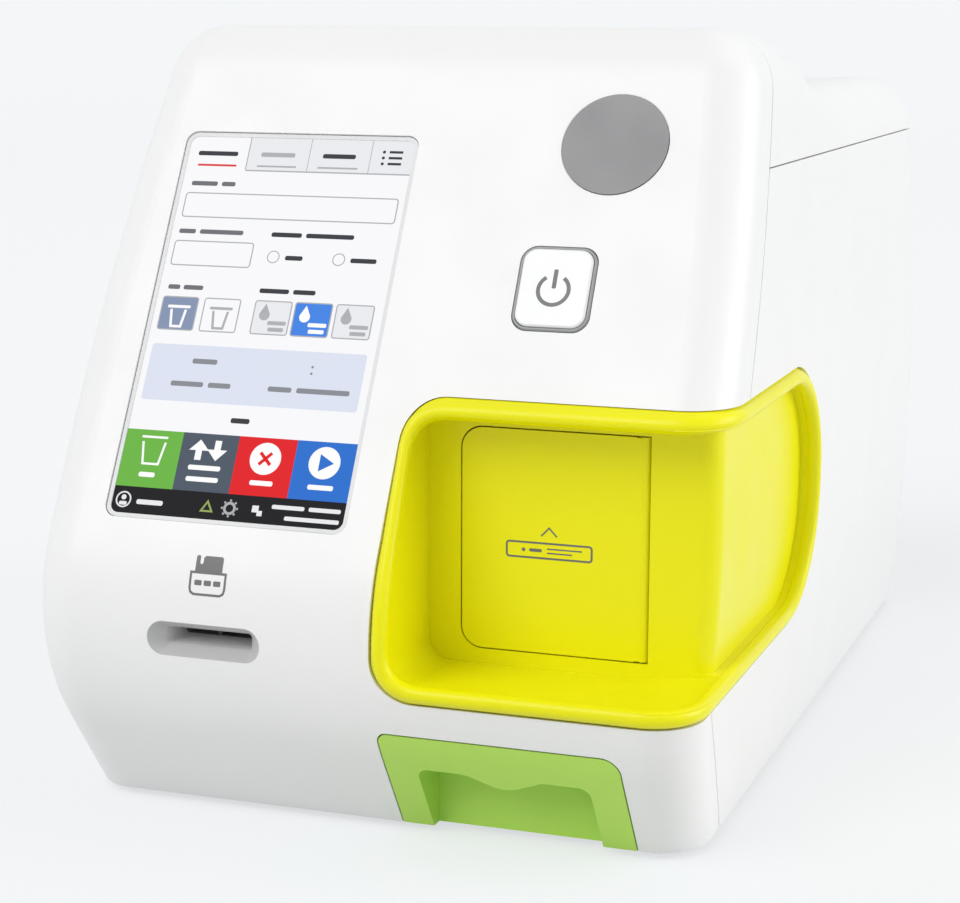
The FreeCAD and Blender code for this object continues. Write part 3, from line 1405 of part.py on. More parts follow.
def board_parts(label, place, rows):
    pieces = []
    for across, along, width, length, height in rows:
        item = block(label + "_part",
                     ("%s_left + %s_width * %s" % (place, place, across),
                      "%s + %s * %s" % (BOARD_FRONTS[place], BOARD_LENGTHS[place], along),
                      BOARD_TOP),
                     ("%s_width * %s" % (place, width),
                      "%s * %s" % (BOARD_LENGTHS[place], length),
                      "%s_part_height * %s" % (place, height)))
        pieces.append(item)
    return subpart(label, *pieces)


standoffs = board("main_board", "main") + board("power_board", "power")
port_standoffs = board("port_board", "port")
subpart("board_standoffs", *(standoffs + port_standoffs[0::2]))
board_parts("main_board_parts", "main", MAIN_PART_SHARES)
board_parts("power_board_parts", "power", POWER_PART_SHARES)


# Sockets at the rear edge of the port board. Each is a hollow block with a contact inside.

PANEL_OUT = "(body_depth - screw_head_height / 2)"


def socket(name, x, width, height, depth):
    """Block with its mouth to the rear and the tongue or pin left in its hollow."""
    outside = block(name, (x + " - %s / 2" % width, "%s - %s" % (PANEL_OUT, depth), BOARD_TOP),
                    (width, depth, height))
    hollow = block(name + "_hollow",
                   ("%s - %s / 2 + port_skin" % (x, width), PANEL_OUT + " - port_reach",
                    BOARD_TOP + " + port_skin"),
                   (width + " - 2 * port_skin", "port_reach", height + " - 2 * port_skin"))
    tongue = block(name + "_tongue",
                   ("%s - %s / 4" % (x, width), PANEL_OUT + " - port_reach",
                    "%s + %s / 2" % (BOARD_TOP, height)),
                   (width + " / 2", "port_reach / 2", "port_skin"))
    return fuse(name + "_whole", cut(name + "_shell", outside, hollow), tongue)


usb = [socket("usb_socket", x, "usb_width", "usb_height", "usb_depth")
       for x in ("usb_x", "(usb_x + usb_pitch)")]
subpart("usb_sockets", *usb)
subpart("network_socket", socket("network", "network_x", "network_width",
                                 "network_height", "network_depth"))
INLET_CENTRE = ("inlet_x", PANEL_OUT + " - port_reach", BOARD_TOP + " + inlet_size / 2")
inlet_block = block("inlet_block",
                    ("inlet_x - inlet_size / 2", PANEL_OUT + " - inlet_depth", BOARD_TOP),
                    ("inlet_size", "inlet_depth", "inlet_size"))
inlet_hole = rod("inlet_hole", INLET_CENTRE, "inlet_hole", "port_reach", "y")
inlet_pin = rod("inlet_pin", INLET_CENTRE, "inlet_pin", "port_reach - port_skin", "y")
subpart("power_inlet", fuse("power_inlet_fused", cut("inlet_hollow", inlet_block, inlet_hole),
                            inlet_pin))


# Rear panel with the fan grille and the cut-outs for the sockets, its screws and the fan.

def port_hole(name, x, width, height):
    return block(name, ("%s - %s / 2 - touch_gap" % (x, width), PANEL_BACK_Y + " - overrun",
                        BOARD_TOP + " - touch_gap"),
                 (width + " + 2 * touch_gap", "2 * overrun", height + " + 2 * touch_gap"))


port_holes = [port_hole("usb_hole", "usb_x", "usb_width", "usb_height"),
              port_hole("usb_hole", "(usb_x + usb_pitch)", "usb_width", "usb_height"),
              port_hole("network_hole", "network_x", "network_width", "network_height"),
              port_hole("inlet_cutout", "inlet_x", "inlet_size", "inlet_size")]
FAN_Z = "(%s - fan_drop)" % REAR_TOP
slot_count = int(S.slot_width // S.slot_pitch)
fan_slots = [block("fan_slot", ("fan_x - slot_width / 2", PANEL_BACK_Y + " - overrun",
                                FAN_Z + " + (%s) * slot_pitch - slot_height / 2" % step),
                   ("slot_width", "2 * overrun", "slot_height"))
             for step in (number - (slot_count - 1) / 2 for number in range(slot_count))]
subpart("rear_panel", cut("rear_panel_cut", rear_plate("rear_panel_blank", "0", PANEL_BACK_Y,
                                                       "rear_panel_thickness"),
                          *(port_holes + fan_slots
                            + panel_screws("panel_hole", "panel_screw_radius", *PANEL_THROUGH))))
shanks = panel_screws("panel_shank", "panel_screw_radius", PANEL_BACK_Y + " - panel_screw_length",
                      "panel_screw_length + rear_panel_thickness")
heads = panel_screws("panel_head", "panel_screw_head", PANEL_OUT, "screw_head_height / 2")
subpart("panel_screws", *[fuse("panel_screw", *pair) for pair in zip(shanks, heads)])

fan_case = facing_front(rounded_plate("fan_case", "fan_size", "fan_size", "fan_frame_corner",
                                      "fan_depth"), "fan_x", PANEL_BACK_Y, FAN_Z)
FAN_FRONT = "(%s - fan_depth)" % PANEL_BACK_Y
fan_bore = rod("fan_bore", ("fan_x", FAN_FRONT, FAN_Z), "fan_bore_radius", "fan_depth", "y")
STATOR_Y = "(%s - stator_depth)" % PANEL_BACK_Y
stator = rod("stator", ("fan_x", STATOR_Y, FAN_Z), "fan_hub_radius", "stator_depth", "y")
struts = [block("strut", ("fan_x - %s / 2" % width, STATOR_Y + " + stator_depth / 2",
                          FAN_Z + " - %s / 2" % height), (width, "stator_depth / 2", height))
          for width, height in (("strut_width", "(fan_size - strut_width)"),
                                ("(fan_size - strut_width)", "strut_width"))]
fan_shaft = rod("fan_shaft", ("fan_x", STATOR_Y + " - rotor_length / 2", FAN_Z),
                "pinion_bore", "rotor_length / 2 + stator_depth", "y")
subpart("fan_frame", fuse("fan_frame_fused", cut("fan_case_bored", fan_case, fan_bore), stator,
                          fan_shaft, *struts))


def rotor_shape():
    """Hub and pitched blades round the Y axis, from Y 0 to the rotor's length."""
    hub = Part.makeCylinder(S.fan_hub_radius, S.rotor_length, Vector(), Vector(0, 1, 0))
    room = Part.makeCylinder(S.fan_blade_radius, S.rotor_length, Vector(), Vector(0, 1, 0))
    middle = Vector(0, S.rotor_length / 2, 0)
    blades = []
    for number in range(int(S.blade_count)):
        blade = Part.makeBox(S.fan_bore_radius, 2 * S.rotor_length, S.blade_thickness,
                             Vector(0, -S.rotor_length / 2, -S.blade_thickness / 2))
        blade.rotate(middle, Vector(1, 0, 0), S.blade_pitch)
        blade.rotate(middle, Vector(0, 1, 0), CIRCLE * number / S.blade_count)
        blades.append(blade.common(room))
    bore = Part.makeCylinder(S.pinion_bore + S.running_gap, S.rotor_length, Vector(0, 0, 0),
                             Vector(0, 1, 0))
    return hub.fuse(blades).cut(bore)


rotor = feature("rotor", rotor_shape())
bind_base(rotor, "fan_x", STATOR_Y + " - rotor_length - touch_gap", FAN_Z)
subpart("fan_rotor", rotor)


# Every piece is built and looked at before anything is written.

doc.recompute()
for item in doc.Objects:
    if "Invalid" in item.State or "Error" in item.State:
        raise RuntimeError("%s (%s) failed: %s" % (item.Name, item.Label, item.State))
os.makedirs("parts", exist_ok=True)
for piece in PIECES:
    if piece.Shape.isNull() or not piece.Shape.isValid():
        raise RuntimeError(piece.Label + " has no valid shape")
    piece.Shape.exportStep("parts/%s.step" % piece.Label)
    print(piece.Label, len(piece.Shape.Solids), round(piece.Shape.Volume))
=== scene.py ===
import bpy, bmesh
import math
from mathutils import Matrix, Vector
from mathutils.bvhtree import BVHTree


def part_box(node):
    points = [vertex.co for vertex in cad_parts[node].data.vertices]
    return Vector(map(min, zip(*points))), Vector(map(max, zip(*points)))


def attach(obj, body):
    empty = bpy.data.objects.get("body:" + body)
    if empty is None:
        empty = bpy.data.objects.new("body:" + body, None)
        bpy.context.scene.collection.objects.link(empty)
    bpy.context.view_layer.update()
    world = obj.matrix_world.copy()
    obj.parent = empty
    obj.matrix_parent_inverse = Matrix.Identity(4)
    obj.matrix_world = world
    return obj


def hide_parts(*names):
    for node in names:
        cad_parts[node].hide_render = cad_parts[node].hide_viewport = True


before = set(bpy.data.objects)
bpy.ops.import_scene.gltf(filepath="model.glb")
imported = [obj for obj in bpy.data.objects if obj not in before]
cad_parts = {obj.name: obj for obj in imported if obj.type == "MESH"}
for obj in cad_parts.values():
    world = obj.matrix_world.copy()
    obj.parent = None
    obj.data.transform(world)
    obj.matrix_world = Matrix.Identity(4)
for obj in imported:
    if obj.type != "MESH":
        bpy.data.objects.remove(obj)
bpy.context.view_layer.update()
MM = 0.001


# Camera. It stands a little above and to the right of the reader and looks back to the left,
# with the long lens that the photograph's small perspective asks for.

camera_data = bpy.data.cameras.new("camera")
camera_data.sensor_fit = "HORIZONTAL"
camera_data.sensor_width = 36.0
camera_data.lens = 86.75
camera_data.clip_start = 0.01
camera_data.clip_end = 50.0
camera = bpy.data.objects.new("camera", camera_data)
bpy.context.scene.collection.objects.link(camera)
turn, dip, roll = math.radians(19.41), math.radians(10.81), math.radians(0.22)
camera.matrix_world = (Matrix.Translation((0.2149, -0.66006, 0.2084))
                       @ Matrix.Rotation(turn, 4, "Z")
                       @ Matrix.Rotation(math.pi / 2 - dip, 4, "X")
                       @ Matrix.Rotation(roll, 4, "Z"))
bpy.context.scene.camera = camera
bpy.context.scene.view_settings.view_transform = "Standard"


# Studio. A pale paper sweep runs under the reader and curves up behind it, so that no
# horizon shows, and takes its soft shadow. A wide soft light comes from the upper left in
# front and a second one from the right, over an even pale room.

def tree_of(name):
    """A new material, its node tree and its Principled shader."""
    material = bpy.data.materials.new(name)
    material.use_nodes = True
    return material, material.node_tree, material.node_tree.nodes["Principled BSDF"]


def add(tree, kind, **inputs):
    """A node of a kind, with the inputs that are given by name or, after an i, by number."""
    node = tree.nodes.new(kind)
    for name, value in inputs.items():
        key = int(name[1:]) if name[1:].isdigit() else name.replace("_", " ")
        if isinstance(value, bpy.types.NodeSocket):
            tree.links.new(value, node.inputs[key])
        else:
            node.inputs[key].default_value = value
    return node


def seen_directly(tree):
    """1 for rays that come straight from the camera, or through glass, or off a gloss."""
    path = add(tree, "ShaderNodeLightPath")
    first = add(tree, "ShaderNodeMath", i0=path.outputs["Is Camera Ray"],
                i1=path.outputs["Is Glossy Ray"])
    second = add(tree, "ShaderNodeMath", i0=first.outputs[0],
                 i1=path.outputs["Is Transmission Ray"])
    for node in (first, second):
        node.operation = "MAXIMUM"
    return second.outputs[0]


BACKDROP = (0.904, 0.922, 0.939, 1.0)
ROOM_LIGHT, PAPER_GLOW, LAMP_WIDTH = 0.605, 0.72, math.radians(40.0)
world = bpy.data.worlds.new("studio")
world.use_nodes = True
bpy.context.scene.world = world
tree = world.node_tree
tree.nodes.clear()
room = add(tree, "ShaderNodeBackground", Color=(1.0, 1.0, 1.0, 1.0), Strength=ROOM_LIGHT)
behind = add(tree, "ShaderNodeBackground", Color=BACKDROP, Strength=1.0)
mixed = add(tree, "ShaderNodeMixShader", Fac=seen_directly(tree), i1=room.outputs[0],
            i2=behind.outputs[0])
add(tree, "ShaderNodeOutputWorld", Surface=mixed.outputs[0])

paper, tree, shader = tree_of("paper")
shader.inputs["Base Color"].default_value = (0.72, 0.73, 0.74, 1.0)
shader.inputs["Roughness"].default_value = 0.9
shader.inputs["Specular IOR Level"].default_value = 0.0
glow = add(tree, "ShaderNodeEmission", Color=BACKDROP, Strength=1.0)
shaded = add(tree, "ShaderNodeBsdfDiffuse", Color=BACKDROP)
in_view = add(tree, "ShaderNodeMixShader", Fac=PAPER_GLOW, i1=shaded.outputs[0],
              i2=glow.outputs[0])
mixed = add(tree, "ShaderNodeMixShader", Fac=seen_directly(tree), i1=shader.outputs[0],
            i2=in_view.outputs[0])
tree.links.new(mixed.outputs[0], tree.nodes["Material Output"].inputs["Surface"])


def finish_mesh(name, bm, material, smooth=True):
    """Turns a bmesh into an object with one material."""
    bmesh.ops.recalc_face_normals(bm, faces=bm.faces)
    mesh = bpy.data.meshes.new(name)
    bm.to_mesh(mesh)
    bm.free()
    mesh.materials.append(material)
    for face in mesh.polygons:
        face.use_smooth = smooth
    piece = bpy.data.objects.new(name, mesh)
    bpy.context.scene.collection.objects.link(piece)
    return piece


SWEEP_HALF_WIDTH, SWEEP_FRONT, SWEEP_BACK, SWEEP_ROUND, SWEEP_TOP = 5.0, -4.0, 2.5, 1.5, 6.0
profile = [(SWEEP_FRONT, 0.0), (SWEEP_BACK, 0.0)]
profile += [(SWEEP_BACK + SWEEP_ROUND * math.sin(a), SWEEP_ROUND * (1 - math.cos(a)))
            for a in (math.pi / 2 * i / 12 for i in range(1, 13))]
profile.append((SWEEP_BACK + SWEEP_ROUND, SWEEP_TOP))
bm = bmesh.new()
rows = [[bm.verts.new((side * SWEEP_HALF_WIDTH, y, z)) for y, z in profile] for side in (-1, 1)]
for i in range(len(profile) - 1):
    bm.faces.new((rows[0][i], rows[1][i], rows[1][i + 1], rows[0][i + 1]))
sweep = finish_mesh("paper_sweep", bm, paper)

for name, towards, strength in (("front_light", (-0.5, -0.95, 1.0), 1.27),
                                ("right_light", (1.0, 0.3, 0.3), 1.38)):
    lamp = bpy.data.lights.new(name, "SUN")
    lamp.energy = strength
    lamp.angle = LAMP_WIDTH
    lamp_object = bpy.data.objects.new(name, lamp)
    lamp_object.rotation_euler = Vector(towards).to_track_quat("Z", "Y").to_euler()
    bpy.context.scene.collection.objects.link(lamp_object)


# Covers. Front, top and side housing are injection moulded in white ABS with a fine spark
# grain, and meet in a narrow shadow gap. Their colour drifts a little from sprue to edge.

def group_of(name, inputs, outputs):
    """An empty shader node group with its sockets, and its input and output nodes."""
    group = bpy.data.node_groups.new(name, "ShaderNodeTree")
    for socket, kind, value in inputs:
        made = group.interface.new_socket(socket, in_out="INPUT", socket_type="NodeSocket" + kind)
        made.default_value = value
    for socket, kind in outputs:
        group.interface.new_socket(socket, in_out="OUTPUT", socket_type="NodeSocket" + kind)
    return group, group.nodes.new("NodeGroupInput"), group.nodes.new("NodeGroupOutput")


def place(tree, group, **values):
    """A group node with its own values."""
    node = tree.nodes.new("ShaderNodeGroup")
    node.node_tree = group
    for name, value in values.items():
        node.inputs[name.replace("_", " ")].default_value = value
    return node


def blend_colours(tree, share, first, second):
    """The first colour going over to the second one as share goes from 0 to 1."""
    node = tree.nodes.new("ShaderNodeMix")
    node.data_type = "RGBA"
    for key, value in ((0, share), (6, first), (7, second)):
        if isinstance(value, bpy.types.NodeSocket):
            tree.links.new(value, node.inputs[key])
        else:
            node.inputs[key].default_value = value
    return node.outputs[2]


def spread(tree, value, low, high, to_low, to_high):
    """A value from the range low to high, laid on the range to_low to to_high."""
    node = add(tree, "ShaderNodeMapRange", Value=value)
    for key, number in zip(("From Min", "From Max", "To Min", "To Max"),
                           (low, high, to_low, to_high)):
        if isinstance(number, bpy.types.NodeSocket):
            tree.links.new(number, node.inputs[key])
        else:
            node.inputs[key].default_value = number
    return node.outputs["Result"]


FLOW_SCALE, RUB_SCALE = 14.0, 55.0
moulded, given, result = group_of(
    "moulded_finish",
    (("Colour", "Color", (0.8, 0.8, 0.8, 1.0)), ("Drift", "Color", (0.7, 0.7, 0.7, 1.0)),
     ("Smooth", "Float", 0.3), ("Matt", "Float", 0.5), ("Grain", "Float", 2500.0)),
    (("Colour", "Color"), ("Roughness", "Float"), ("Height", "Float")))
where = add(moulded, "ShaderNodeTexCoord").outputs["Object"]
flow = add(moulded, "ShaderNodeTexNoise", Vector=where, Scale=FLOW_SCALE, Detail=2.0)
rub = add(moulded, "ShaderNodeTexNoise", Vector=where, Scale=RUB_SCALE, Detail=5.0)
grain = add(moulded, "ShaderNodeTexNoise", Vector=where, Scale=given.outputs["Grain"], Detail=1.0)
moulded.links.new(blend_colours(moulded, spread(moulded, flow.outputs[0], 0.35, 0.65, 0.0, 1.0),
                                given.outputs["Colour"], given.outputs["Drift"]),
                  result.inputs["Colour"])
moulded.links.new(spread(moulded, rub.outputs[0], 0.35, 0.65, given.outputs["Smooth"],
                         given.outputs["Matt"]), result.inputs["Roughness"])
moulded.links.new(grain.outputs[0], result.inputs["Height"])


def wear(tree, shader, finish, depth):
    """Leads the colour, roughness and height of a finish into a shader."""
    bump = add(tree, "ShaderNodeBump", Height=finish.outputs["Height"], Distance=MM,
               Strength=depth)
    tree.links.new(finish.outputs["Colour"], shader.inputs["Base Color"])
    tree.links.new(finish.outputs["Roughness"], shader.inputs["Roughness"])
    tree.links.new(bump.outputs[0], shader.inputs["Normal"])


def plastic(name, colour, drift=0.97, smooth=0.32, matt=0.42, grain=2500.0, depth=0.012,
            gloss=0.5):
    """Moulded plastic: a colour that drifts to a slightly deeper one, with a fine grain."""
    material, tree, shader = tree_of(name)
    shader.inputs["Specular IOR Level"].default_value = gloss
    finish = place(tree, moulded, Colour=(*colour, 1.0), Smooth=smooth, Matt=matt, Grain=grain,
                   Drift=(*(c * drift for c in colour), 1.0))
    wear(tree, shader, finish, depth)
    return material


def dress(material, *nodes):
    """Gives CAD nodes a material in all their slots."""
    for node in nodes:
        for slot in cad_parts[node].material_slots:
            slot.material = material


cover_white = plastic("cover_white", (0.875, 0.875, 0.87), drift=0.985, gloss=0.4)
dress(cover_white, "front_cover", "top_cover", "side_housing")


# Recess moulding and cartridge door. Both are ABS, lemon yellow throughout, with a soft gloss.
# The moulding snaps in from behind and the door turns on two steel pins.

recess_yellow = plastic("recess_yellow", (0.87, 0.835, 0.001), drift=0.975, smooth=0.30,
                        matt=0.38, grain=3000.0, gloss=0.3)
dress(recess_yellow, "inset_moulding", "cartridge_door")


WELD, SHARP = MM / 200, math.radians(35)


def welded(node):
    """A copy of a CAD node's mesh in which the faces share their corners."""
    bm = bmesh.new()
    bm.from_mesh(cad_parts[node].data)
    bmesh.ops.remove_doubles(bm, verts=bm.verts, dist=WELD)
    return bm


def rim_of(node, seed):
    """The closed chain of sharp outward edges of a node that passes nearest to a point: for
    each of its corners the place and the normals of the faces that meet there."""
    bm = welded(node)
    edges = {edge for edge in bm.edges if len(edge.link_faces) == 2 and edge.is_convex
             and edge.calc_face_angle(0.0) > SHARP}
    first = min(edges, key=lambda e: ((e.verts[0].co + e.verts[1].co) / 2 - seed).length)
    chain, here, last = [first.verts[0]], first.verts[1], first
    while here is not chain[0]:
        ahead = [e for e in here.link_edges if e in edges and e is not last]
        along = (here.co - chain[-1].co).normalized()
        last = max(ahead, key=lambda e: (e.other_vert(here).co - here.co).normalized().dot(along))
        chain.append(here)
        here = last.other_vert(here)
    corners = []
    for i, vert in enumerate(chain):
        joined = [e for e in vert.link_edges
                  if e.other_vert(vert) in (chain[i - 1], chain[(i + 1) % len(chain)])]
        faces = {face for e in joined for face in e.link_faces}
        corners.append((vert.co.copy(), [face.normal.copy() for face in faces]))
    bm.free()
    return corners


def resample(values, count):
    """Even steps along a closed chain of (place, ...) rows of vectors."""
    rows = values + values[:1]
    steps = [(b[0] - a[0]).length for a, b in zip(rows, rows[1:])]
    total, out, i, gone = sum(steps), [], 0, 0.0
    for k in range(count):
        target = total * k / count
        while gone + steps[i] < target:
            gone += steps[i]
            i += 1
        share = (target - gone) / max(steps[i], 1e-9)
        out.append([a.lerp(b, share) for a, b in zip(rows[i], rows[i + 1])])
    return out


def smoothed(rows, reach):
    """Each row as the mean of its neighbours within reach, round a closed chain."""
    count = len(rows)
    return [[sum((rows[(i + k) % count][j] for k in range(-reach, reach + 1)), Vector())
             / (2 * reach + 1) for j in range(len(rows[0]))] for i in range(count)]


# Rolled lip of the recess. The edge of the moulding is a full round bead that stands a little
# proud of the covers all the way round; here it is swept along the rim of the moulding. Its
# outer side runs out on the moulding's own surface. All of its sizes are in millimetres, as
# (distance to the side, height) from the rim.

ROLL = ((-1.6, -2.8), (0.12, -3.0), (0.32, -1.8), (0.32, -0.9), (0.10, 0.0), (-0.45, 0.58),
        (-1.2, 0.90), (-2.1, 0.92))
RUN_OUT = ((-3.0, 0.64), (-3.8, 0.27), (-4.5, -0.03))
LOWEST, TUCKED, PROBE = -2.4, (-3.9, -1.0), 3.0
RIM_SEED, RIM_MIDDLE = MM * Vector((46.6, -152.3, 45.1)), MM * Vector((20.0, 30.0, 80.0))
RIM_STEPS, PLACE_REACH, TURN_REACH, HEIGHT_REACH, UPWARD_SHARE = 420, 3, 9, 4, 0.15
bm = bmesh.new()
bm.from_mesh(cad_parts["inset_moulding"].data)
skin = BVHTree.FromBMesh(bm)
bm.free()


def height_over_rim(co, top, side, across):
    """Height of the moulding's surface, in mm, at a distance across from a corner of the rim."""
    hit = skin.ray_cast(co + MM * (across * side + PROBE * top), -top, MM * 2 * PROBE)[0]
    return LOWEST if hit is None else max(LOWEST, (hit - co).dot(top) / MM)


rim = []
for co, normals in rim_of("inset_moulding", RIM_SEED):
    outward = co - RIM_MIDDLE
    outward.z *= UPWARD_SHARE
    top = max(normals, key=lambda n: n.dot(outward))
    side = min(normals, key=lambda n: abs(n.dot(top)))
    rim.append([co, top, side])
rim = smoothed(resample(rim, RIM_STEPS), PLACE_REACH)
turns = smoothed([row[1:] for row in rim], TURN_REACH)
rim = [[row[0], *turn] for row, turn in zip(rim, turns)]
for row in rim:
    row[1].normalize()
    row[2] = (row[2] - row[1] * row[2].dot(row[1])).normalized()
    row.append(Vector([height_over_rim(*row, across) for across, _ in RUN_OUT]))
heights = smoothed([row[3:] for row in rim], HEIGHT_REACH)
bm = bmesh.new()
rings = []
for (co, top, side, _), (height,) in zip(rim, heights):
    outline = list(ROLL) + [(a, b + extra) for (a, b), extra in zip(RUN_OUT, height)]
    outline.append((TUCKED[0], height[-1] + TUCKED[1]))
    rings.append([bm.verts.new(co + MM * (a * side + b * top)) for a, b in outline])
for i, ring in enumerate(rings):
    after = rings[(i + 1) % len(rings)]
    for k in range(len(ring)):
        m = (k + 1) % len(ring)
        bm.faces.new((ring[k], ring[m], after[m], after[k]))
lip_roll = finish_mesh("recess_lip_roll", bm, recess_yellow)
rounding = lip_roll.modifiers.new("rounding", "SUBSURF")
rounding.levels = rounding.render_levels = 1
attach(lip_roll, "housing")


# Rolled edge of the cartridge door. It bridges the groove between the leaf and its hinge
# barrel, so that the front of the door runs smoothly into the barrel. Its outline is given
# in millimetres, as (x, distance behind the nose).

EDGE_OUTLINE = ((63.6, 37.24), (64.6, 37.24), (65.5, 37.26), (66.1, 37.36), (66.1, 37.9),
                (64.0, 37.9), (63.6, 37.6))
NOSE_TO_ORIGIN, DOOR_EDGE_LOW, DOOR_EDGE_HIGH = 152.3, 46.9, 104.2
bm = bmesh.new()
ends = [[bm.verts.new(MM * Vector((x, y - NOSE_TO_ORIGIN, z))) for x, y in EDGE_OUTLINE]
        for z in (DOOR_EDGE_LOW, DOOR_EDGE_HIGH)]
for i in range(len(EDGE_OUTLINE)):
    bm.faces.new((ends[0][i - 1], ends[0][i], ends[1][i], ends[1][i - 1]))
for end in ends:
    bm.faces.new(end)
door_edge = finish_mesh("door_rolled_edge", bm, recess_yellow, smooth=False)
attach(door_edge, "door")


# Grip front of the waste drawer, with its box. Lime green ABS, moulded in one colour.

drawer_green = plastic("drawer_green", (0.49, 0.78, 0.122), smooth=0.38, matt=0.5, gloss=0.35)
dress(drawer_green, "drawer_front", "drawer_box")


# Small grey mouldings: the pale trim round the display, the dark ring round the power button
# and the blank badge, a disc bonded into its seat.

trim_pale = plastic("trim_pale", (0.70, 0.705, 0.71), smooth=0.3, matt=0.4)
dress(trim_pale, "display_trim")
trim_grey = plastic("trim_grey", (0.30, 0.305, 0.31), smooth=0.3, matt=0.4)
dress(trim_grey, "button_ring")
badge_grey = plastic("badge_grey", (0.225, 0.225, 0.23), smooth=0.3, matt=0.42)
dress(badge_grey, "blank_badge")
button_white = plastic("button_white", (0.86, 0.86, 0.86), smooth=0.2, matt=0.28)
dress(button_white, "power_button")


# Display. A bonded touch glass with the lit panel under it. The panel shows an operating page
# that is laid out in plain bars, keys and signs.

PANEL_TILT = math.radians(29.1)
PANEL_DATUM = Vector((0.0, -0.131693, 0.102))
PANEL_UP = Vector((0.0, math.sin(PANEL_TILT), math.cos(PANEL_TILT)))
PANEL_OUT = Vector((0.0, -math.cos(PANEL_TILT), math.sin(PANEL_TILT)))


def on_panel(across, up, out):
    """A place on the sloped panel, in millimetres from its datum."""
    return PANEL_DATUM + MM * (Vector((across, 0.0, 0.0)) + up * PANEL_UP + out * PANEL_OUT)


def linear(*colour):
    """A colour that is written as it shows on a screen, from 0 to 255."""
    return tuple(((c / 255 + 0.055) / 1.055) ** 2.4 if c > 10 else c / 255 / 12.92
                 for c in colour) + (1.0,)


CORNER_STEPS = 4


def bar(x0, y0, x1, y1, corner=0.0):
    """The outline of a rectangle with round corners."""
    if not corner:
        return [(x0, y0), (x1, y0), (x1, y1), (x0, y1)]
    points = []
    for cx, cy, start in ((x1 - corner, y0 + corner, -90), (x1 - corner, y1 - corner, 0),
                          (x0 + corner, y1 - corner, 90), (x0 + corner, y0 + corner, 180)):
        for step in range(CORNER_STEPS + 1):
            angle = math.radians(start + 90 / CORNER_STEPS * step)
            points.append((cx + corner * math.cos(angle), cy + corner * math.sin(angle)))
    return points


def disc(x, y, radius, count=28):
    """The outline of a circle."""
    return [(x + radius * math.cos(math.tau * i / count),
             y + radius * math.sin(math.tau * i / count)) for i in range(count)]


def stroke(points, width, closed=False):
    """The quads of a line of some width along points, mitred at its corners."""
    pairs, count = [], len(points)
    for i, here in enumerate(points):
        before = points[(i - 1) % count] if closed or i else None
        after = points[(i + 1) % count] if closed or i < count - 1 else None
        sides = [Vector((b[0] - a[0], b[1] - a[1])).normalized()
                 for a, b in ((before, here), (here, after)) if a and b]
        along = sum(sides, Vector((0.0, 0.0))).normalized()
        normal = Vector((-along.y, along.x))
        reach = width / 2 / max(0.4, normal.dot(Vector((-sides[0].y, sides[0].x))))
        pairs.append(((here[0] + normal.x * reach, here[1] + normal.y * reach),
                      (here[0] - normal.x * reach, here[1] - normal.y * reach)))
    last = count if closed else count - 1
    return [[pairs[i][0], pairs[(i + 1) % count][0], pairs[(i + 1) % count][1], pairs[i][1]]
            for i in range(last)]


PRINT_SINK, PRINT_RISE = 0.03, 0.012


def printed(name, shapes, where, material, rows=()):
    """Thin closed plates of colour: (outline, colour, level), laid on a face by where. They
    are cut at the heights in rows, so that they can bend there."""
    bm = bmesh.new()
    tint = bm.loops.layers.float_color.new("tint")
    for outline, colour, level in shapes:
        low = PRINT_RISE * (level - 0.5) if level else -PRINT_SINK
        high = PRINT_RISE * (level + 1)
        bottom = [bm.verts.new((x, y, low)) for x, y in outline]
        top = [bm.verts.new((x, y, high)) for x, y in outline]
        faces = [bm.faces.new(bottom), bm.faces.new(top)]
        for i in range(len(outline)):
            j = (i + 1) % len(outline)
            faces.append(bm.faces.new((bottom[i], bottom[j], top[j], top[i])))
        for face in faces:
            for loop in face.loops:
                loop[tint] = colour
    for row in rows:
        bmesh.ops.bisect_plane(bm, geom=bm.verts[:] + bm.edges[:] + bm.faces[:],
                               plane_co=(0.0, row, 0.0), plane_no=(0.0, 1.0, 0.0))
    for vert in bm.verts:
        vert.co = where(*vert.co)
    return finish_mesh(name, bm, material, smooth=False)


# colours of the page
INK, LABEL, PALE, LINE = (linear(56, 58, 64), linear(112, 114, 120), linear(236, 237, 240),
                          linear(176, 178, 182))
GLASS_WHITE, WHITE, GREY = linear(250, 250, 252), linear(255, 255, 255), linear(140, 142, 150)
BLUE, DEEP_BLUE, SLATE = linear(66, 133, 230), linear(38, 112, 208), linear(78, 88, 102)
RED, GREEN = linear(228, 24, 30), linear(108, 184, 68)
# the page, in millimetres across and down from its upper left corner
LIT_WIDTH, LIT_LENGTH, FIELD_LINE = 64.8, 106.9, 0.35
page = [(bar(0, 0, LIT_WIDTH, LIT_LENGTH), GLASS_WHITE, 0)]


def on_page(colour, level, *outlines):
    """Lays outlines of one colour on the page, higher ones over lower ones."""
    page.extend((outline, colour, level) for outline in outlines)


def field(x0, y0, x1, y1, corner=1.0, fill=GLASS_WHITE):
    """A field: a filled outline over a slightly larger one."""
    on_page(LINE, 1, bar(x0, y0, x1, y1, corner))
    on_page(fill, 2, bar(x0 + FIELD_LINE, y0 + FIELD_LINE, x1 - FIELD_LINE, y1 - FIELD_LINE,
                         corner - FIELD_LINE))


